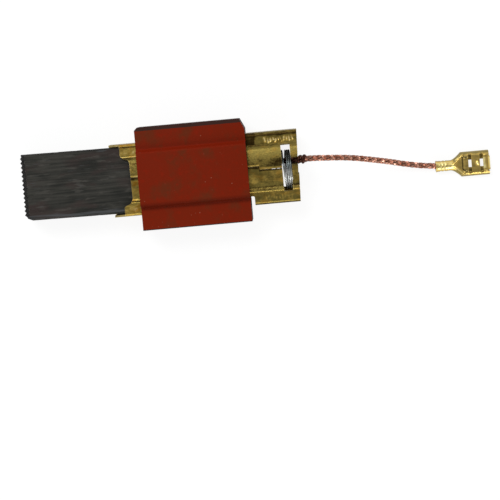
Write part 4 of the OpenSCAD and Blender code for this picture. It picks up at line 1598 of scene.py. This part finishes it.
@dataclass
class Pigtail:
    """The braided lead: interlaced bundles of fine wire along one route, with a knot behind the holder."""

    route: tuple[Point, ...] = (
        (-9.5, 0, 6.5), (-7, 0, 6.5), (-4.5, 0, 6.5), (-1.5, 0.2, 6.5), (2, 0.8, 6.5),
        (5.5, 1.2, 6.5), (9, 1.3, 6.5), (12.5, 1.3, 6.5), (16, 1.3, 6.5), (19, 1.3, 6.6),
        (21.5, 1.3, 7.4), (23.3, 1.3, 8.8), (24.9, 1.3, 10.2), (26.4, 1.4, 11.2), (28, 1.5, 11.6),
        (30.3, 1.45, 11.4), (33, 1.25, 10.7), (36, 1, 9.6), (39.2, 0.6, 8.2), (42.5, 0, 6.6),
        (46, -0.75, 5), (49.5, -1.54, 3.6), (53, -2.4, 2.5), (56.5, -3.1, 1.8), (59.4, -3.5, 1.5),
        (62, -3.8, 1.47), (65, -3.8, 1.47))
    diameter: float = 1.5
    exit_x: float = -5.0
    axis_z: float = 6.5
    carriers: int = 8
    wires: int = 5
    wire_d: float = 0.17
    dome: float = 0.4
    lay: float = 9.2
    weave: float = 0.13
    step: float = 0.24
    knot_x: float = 27.2
    knot_half: float = 1.3
    knot_swell: float = 0.28
    nesting: float = 0.92
    hitch_r: float = 0.4
    hitch_turns: float = 1.6
    hitch_reach: float = 0.78

    def centre_line(self, step: float) -> np.ndarray:
        """Points of the smooth route, about step millimetres apart."""
        r = [np.array(p, float) for p in self.route]
        dense = []
        for i in range(len(r) - 1):
            a, b, c, d = r[max(i - 1, 0)], r[i], r[i + 1], r[min(i + 2, len(r) - 1)]
            for f in np.linspace(0, 1, 20, endpoint=False):
                dense.append(b + f * (c - a) / 2 + f * f * (a - 2.5 * b + 2 * c - d / 2)
                             + f**3 * (3 * b - a - 3 * c + d) / 2)
        dense = np.array(dense + [r[-1]])
        walk = walk_along(dense)
        places = np.linspace(0, walk[-1], max(2, round(walk[-1] / step)) + 1)
        return np.array([[np.interp(s, walk, dense[:, k]) for k in range(3)] for s in places])

    def tree(self, finish: bpy.types.Material) -> Graph:
        """Geometry tree that lays the wires round the route, over and under each other, marks painted shade
        where wires run under others, and adds a dark core tube that stands for the shade inside the braid.
        """
        graph = Graph("braided_wires")
        names = ("Radius", "Weave", "Lay", "Wire radius", "Spacing", "Core radius")
        v = {name: graph.value(name, Socket.LENGTH) for name in names}
        dome = graph.value("Dome", Socket.LENGTH)
        carriers, wires = graph.value("Carriers", Socket.COUNT), graph.value("Wires", Socket.COUNT)
        sides = graph.value("Sides", Socket.COUNT)
        curve = graph.node("GeometryNodeMeshToCurve", {"Mesh": graph.entry.outputs[0]}).outputs[0]
        amount = graph.times(carriers, wires)
        given = {"Geometry": curve, "Amount": amount}
        many = graph.node("GeometryNodeDuplicateElements", given, domain="SPLINE")
        index = many.outputs["Duplicate Index"]
        carrier = graph.math("FLOOR", graph.over(graph.plus(index, 0.5), wires))
        wire = graph.minus(index, graph.times(carrier, wires))
        half = graph.over(carriers, 2.0)
        second = graph.math("GREATER_THAN", graph.plus(carrier, 0.5), half)
        way = graph.minus(1.0, graph.times(second, 2.0))
        along = graph.node("GeometryNodeSplineParameter", {}).outputs["Length"]
        turn = graph.over(graph.times(along, 2 * math.pi), v["Lay"])
        swell = graph.node("GeometryNodeInputNamedAttribute", {"Name": "swell"}, data_type="FLOAT").outputs[0]
        radius = graph.times(v["Radius"], swell)
        start = graph.over(graph.times(carrier, 2 * math.pi), half)
        angle = graph.plus(graph.times(turn, way), start)
        wave = graph.times(graph.math("COSINE", graph.times(turn, half)), way)
        middle = graph.over(graph.minus(wires, 1.0), 2.0)
        slip = graph.times(graph.minus(wire, middle), v["Spacing"])
        rise = graph.times(graph.times(slip, slip), dome)
        lift = graph.minus(graph.times(wave, v["Weave"]), rise)
        reach = graph.plus(radius, lift)
        normal = graph.node("GeometryNodeInputNormal", {}).outputs[0]
        tangent = graph.node("GeometryNodeInputTangent", {}).outputs[0]
        across = graph.vector("CROSS_PRODUCT", tangent, normal)
        cosine, sine = graph.math("COSINE", angle), graph.math("SINE", angle)
        along_normal = graph.minus(graph.times(reach, cosine), graph.times(slip, sine))
        along_across = graph.plus(graph.times(reach, sine), graph.times(slip, cosine))
        shift = graph.vector("ADD", graph.vector("SCALE", normal, along_normal),
                             graph.vector("SCALE", across, along_across))
        lowest, highest = graph.times(v["Weave"], -0.8), graph.times(v["Weave"], 0.7)
        # painted shade: wires that run under others, and the whole second set, are marked deep
        deep = graph.plus(graph.remap(lift, lowest, highest, 1.0, 0.0), graph.times(second, 0.45))
        laid = graph.keep(many.outputs["Geometry"], "deep", deep)
        laid = graph.node("GeometryNodeSetPosition", {"Geometry": laid, "Offset": shift}).outputs[0]
        both = graph.node("GeometryNodeJoinGeometry", {})
        # the second tube is a dark core marked fully deep: painted shade inside the braid
        for part in (graph.tube(laid, sides, v["Wire radius"]),
                     graph.tube(graph.keep(curve, "deep", 1.0), 8, v["Core radius"])):
            graph.links.new(part, both.inputs[0])
        graph.finish(both.outputs[0], finish)
        return graph

    def marks(self, points: np.ndarray) -> dict[str, np.ndarray]:
        """How much the braid swells, and how dark it is at each point: darker inside and behind the holder,
        from oxide and painted shade.
        """
        swell, oxide_and_shade = [], []
        for x, _, _ in points:
            off = abs(x - self.knot_x) / self.knot_half
            swell.append(1 + self.knot_swell * math.cos(off * math.pi / 2) ** 0.7 if off < 1 else 1.0)
            oxide_and_shade.append(max(0.88 * smooth((31.5 - x) / 5.5), 0.0) if x > 10 else 0.7)
        return {"swell": np.array(swell), "oxide_and_shade": np.array(oxide_and_shade)}

    def loops(self) -> np.ndarray:
        """Line of the half hitch that the knot winds round the braid."""
        line = self.centre_line(0.06)
        line = line[np.abs(line[:, 0] - self.knot_x) < self.knot_half - 0.45]
        made = []
        for i, p in enumerate(line):
            t = i / (len(line) - 1)
            ahead = heading(line, i)
            side = unit(np.cross(ahead, [0, 0, 1]))
            up = np.cross(side, ahead)
            a = 2 * math.pi * self.hitch_turns * t + 0.6
            made.append(p + self.hitch_reach * (math.cos(a) * side + math.sin(a) * up))
        return np.array(made)

    def build(self, terminal: bpy.types.Object) -> list[bpy.types.Object]:
        """Args:
            terminal: the piece at its far end; not used.

        Returns:
            The pigtail.
        """
        finish = CopperFinish().material()
        graph = self.tree(finish)
        line = self.centre_line(self.step)
        piece = self.braid("braided_pigtail", graph, line, self.marks(line))
        self.join(piece, self.strand("hitch", self.loops(), self.hitch_r, finish))
        shade(piece, 70)
        dress(piece, Body.BRUSH, ["pigtail"], finish)
        path = self.centre_line(1.0)
        length = float(walk_along(path)[-1])
        log.info("pigtail's middle line is %.1f mm long", length)
        return [piece]

    def braid(self, name: str, graph: Graph, line: np.ndarray,
              marks: dict[str, np.ndarray]) -> bpy.types.Object:
        """Braids wires along a line.

        Args:
            name: the piece's name.
            graph: the geometry tree.
            line: the points that the braid follows.
            marks: its swelling and darkness at each point.

        Returns:
            The braid.
        """
        piece = make_piece(name, line, [], marks, [(i, i + 1) for i in range(len(line) - 1)])
        wire_r = self.wire_d / 2
        radius = self.diameter / 2 - self.weave - wire_r
        graph.run(piece, **{
            "Radius": radius * MM, "Weave": self.weave * MM, "Lay": self.lay * MM, "Wire radius": wire_r * MM,
            "Spacing": self.nesting * self.wire_d * MM, "Core radius": (radius - wire_r) * MM,
            "Dome": self.dome / MM, "Carriers": self.carriers, "Wires": self.wires, "Sides": 4})
        return piece

    def strand(self, name: str, line: np.ndarray, radius: float,
               finish: bpy.types.Material) -> bpy.types.Object:
        """Tube with three twisted lobes along a line, darkened all over by oxide and painted shade.

        Args:
            name: the piece's name.
            line: its middle line.
            radius: its largest radius.
            finish: its material.

        Returns:
            The piece.
        """
        around, points = 18, []
        normal = np.array([0.0, 0.0, 1.0])
        for i, p in enumerate(line):
            ahead = heading(line, i)
            normal = unit(normal - ahead * float(np.dot(normal, ahead)))
            across = np.cross(ahead, normal)
            for j in range(around):
                a = 2 * math.pi * j / around
                r = radius * (0.86 + 0.14 * abs(math.cos(1.5 * a + 0.05 * i)))
                points.append(p + r * (math.cos(a) * normal + math.sin(a) * across))
        faces = ring_walls(len(line), around)
        faces += [tuple(range(around))[::-1], tuple((len(line) - 1) * around + j for j in range(around))]
        levels = {"oxide_and_shade": 0.97, "deep": 0.3, "swell": 1.0}
        piece = make_piece(name, np.array(points), faces,
                           {mark: np.full(len(points), level) for mark, level in levels.items()})
        piece.data.materials.append(finish)
        face_outwards(piece)
        return piece

    def join(self, piece: bpy.types.Object, part: bpy.types.Object) -> None:
        """Adds part's mesh to the piece's and removes part."""
        form = bmesh.new()
        form.from_mesh(piece.data)
        form.from_mesh(part.data)
        form.to_mesh(piece.data)
        form.free()
        bpy.data.objects.remove(part)


@dataclass
class Studio:
    """Floor, sky, lamps and camera."""

    picture: float = 500.0
    scale: float = 3.986
    distance: float = 450.0
    roll: float = 5.14
    lean_up: float = 5.2
    lean_right: float = 1.24
    target_right: float = 13.95
    target_up: float = -19.1
    target_z: float = 6.5
    floor_colour: float = 0.25
    horizon: float = 0.45
    zenith: float = 0.4

    def shown(self, sheet: NodeSheet) -> bpy.types.NodeSocket:
        """One for the rays that show the background, alone or in metal and glass, and zero for the light."""
        path = sheet.node("ShaderNodeLightPath", {}).outputs
        seen = sheet.math("MAXIMUM", path["Is Camera Ray"], path["Is Glossy Ray"])
        return sheet.math("MAXIMUM", seen, path["Is Transmission Ray"])

    def floor(self) -> None:
        """Lays a plain white floor under the object."""
        bpy.ops.mesh.primitive_plane_add(size=6.0, location=(0, 0, -0.00003))
        ground = bpy.context.object
        ground.name = "floor"
        shader = Shader("floor_paint", 0.0, 0.9, 0.0)
        shader.put(shader.surface.inputs["Emission Color"], (1.0, 1.0, 1.0))
        lift = shader.times(self.shown(shader), 1.1 - self.floor_colour)
        shader.put(shader.surface.inputs["Emission Strength"], lift)
        ground.data.materials.append(shader.done((self.floor_colour,) * 3))

    def sky(self) -> None:
        """Lights the scene from an even grey sky that shows white at the horizon."""
        world = bpy.data.worlds.new("studio_sky")
        bpy.context.scene.world = world
        world.use_nodes = True
        sheet = NodeSheet(world.node_tree)
        sheet.nodes.clear()
        way = sheet.node("ShaderNodeTexCoord", {}).outputs["Generated"]
        height = sheet.node("ShaderNodeSeparateXYZ", {0: way}).outputs["Z"]
        light = sheet.ramp(height, 0.0, 1.0, self.horizon, self.zenith)
        view = sheet.ramp(height, 0.35, 0.85, 1.0, self.zenith)
        strength = sheet.node("ShaderNodeMix", {"Factor": self.shown(sheet), "A": light, "B": view})
        glow = sheet.node("ShaderNodeBackground", {"Strength": strength.outputs[0]}).outputs[0]
        sheet.node("ShaderNodeOutputWorld", {0: glow})

    def lamp(self, name: str, place: Point, size: float, level: float) -> None:
        """Hangs a square soft lamp that faces the object.

        Args:
            name: the lamp's name.
            place: its place in metres.
            size: its side in metres.
            level: how bright it alone makes a white surface that faces it.
        """
        light = bpy.data.lights.new(name, "AREA")
        light.size, light.energy = size, level * math.pi**2 * Vector(place).length_squared
        holder = bpy.data.objects.new(name, light)
        holder.location = place
        holder.rotation_euler = (-Vector(place)).to_track_quat("-Z", "Y").to_euler()
        bpy.context.scene.collection.objects.link(holder)

    def camera(self) -> None:
        """Places the camera almost straight above, turned a little about its own axis."""
        turn = math.radians(self.roll)
        right = Vector((math.cos(turn), -math.sin(turn), 0))
        up = Vector((math.sin(turn), math.cos(turn), 0))
        away = (Vector((0, 0, 1)) + up * math.tan(math.radians(self.lean_up))
                + right * math.tan(math.radians(self.lean_right))).normalized()
        target = (right * self.target_right + up * self.target_up + Vector((0, 0, self.target_z))) * MM
        eye = bpy.data.cameras.new("camera")
        eye.sensor_width = 36.0
        eye.lens = self.distance * self.scale / self.picture * eye.sensor_width
        eye.clip_start, eye.clip_end = 0.01, 20.0
        stand = bpy.data.objects.new("camera", eye)
        bpy.context.scene.collection.objects.link(stand)
        stand.location = target + away * self.distance * MM
        top = (up - away * up.dot(away)).normalized()
        stand.rotation_euler = Matrix((top.cross(away), top, away)).transposed().to_euler()
        bpy.context.scene.camera = stand

    def build(self) -> None:
        """Builds the stage."""
        self.camera()
        self.floor()
        self.sky()
        self.lamp("key_lamp", (-0.25, 0.5, 0.8), 0.5, 0.42)
        self.lamp("fill_lamp", (0.15, -0.8, 0.5), 0.35, 0.3)
        bpy.context.scene.view_settings.view_transform = "Standard"


def main() -> None:
    """Builds the stage and every sub-assembly, and reports each piece."""
    logging.basicConfig(level=logging.INFO, format="%(name)s: %(message)s")
    Studio().build()
    pieces = CarbonBlock().build()
    holder = FoldedHolder()
    pieces += holder.build()
    pieces += CoilSpring().build()
    pieces += InsulatingSleeve().build(holder)
    terminal = PushOnTerminal().build()
    pieces += terminal + Pigtail().build(terminal[0])
    log.info("%d pieces built", len(pieces))


if __name__ == "__main__":
    main()
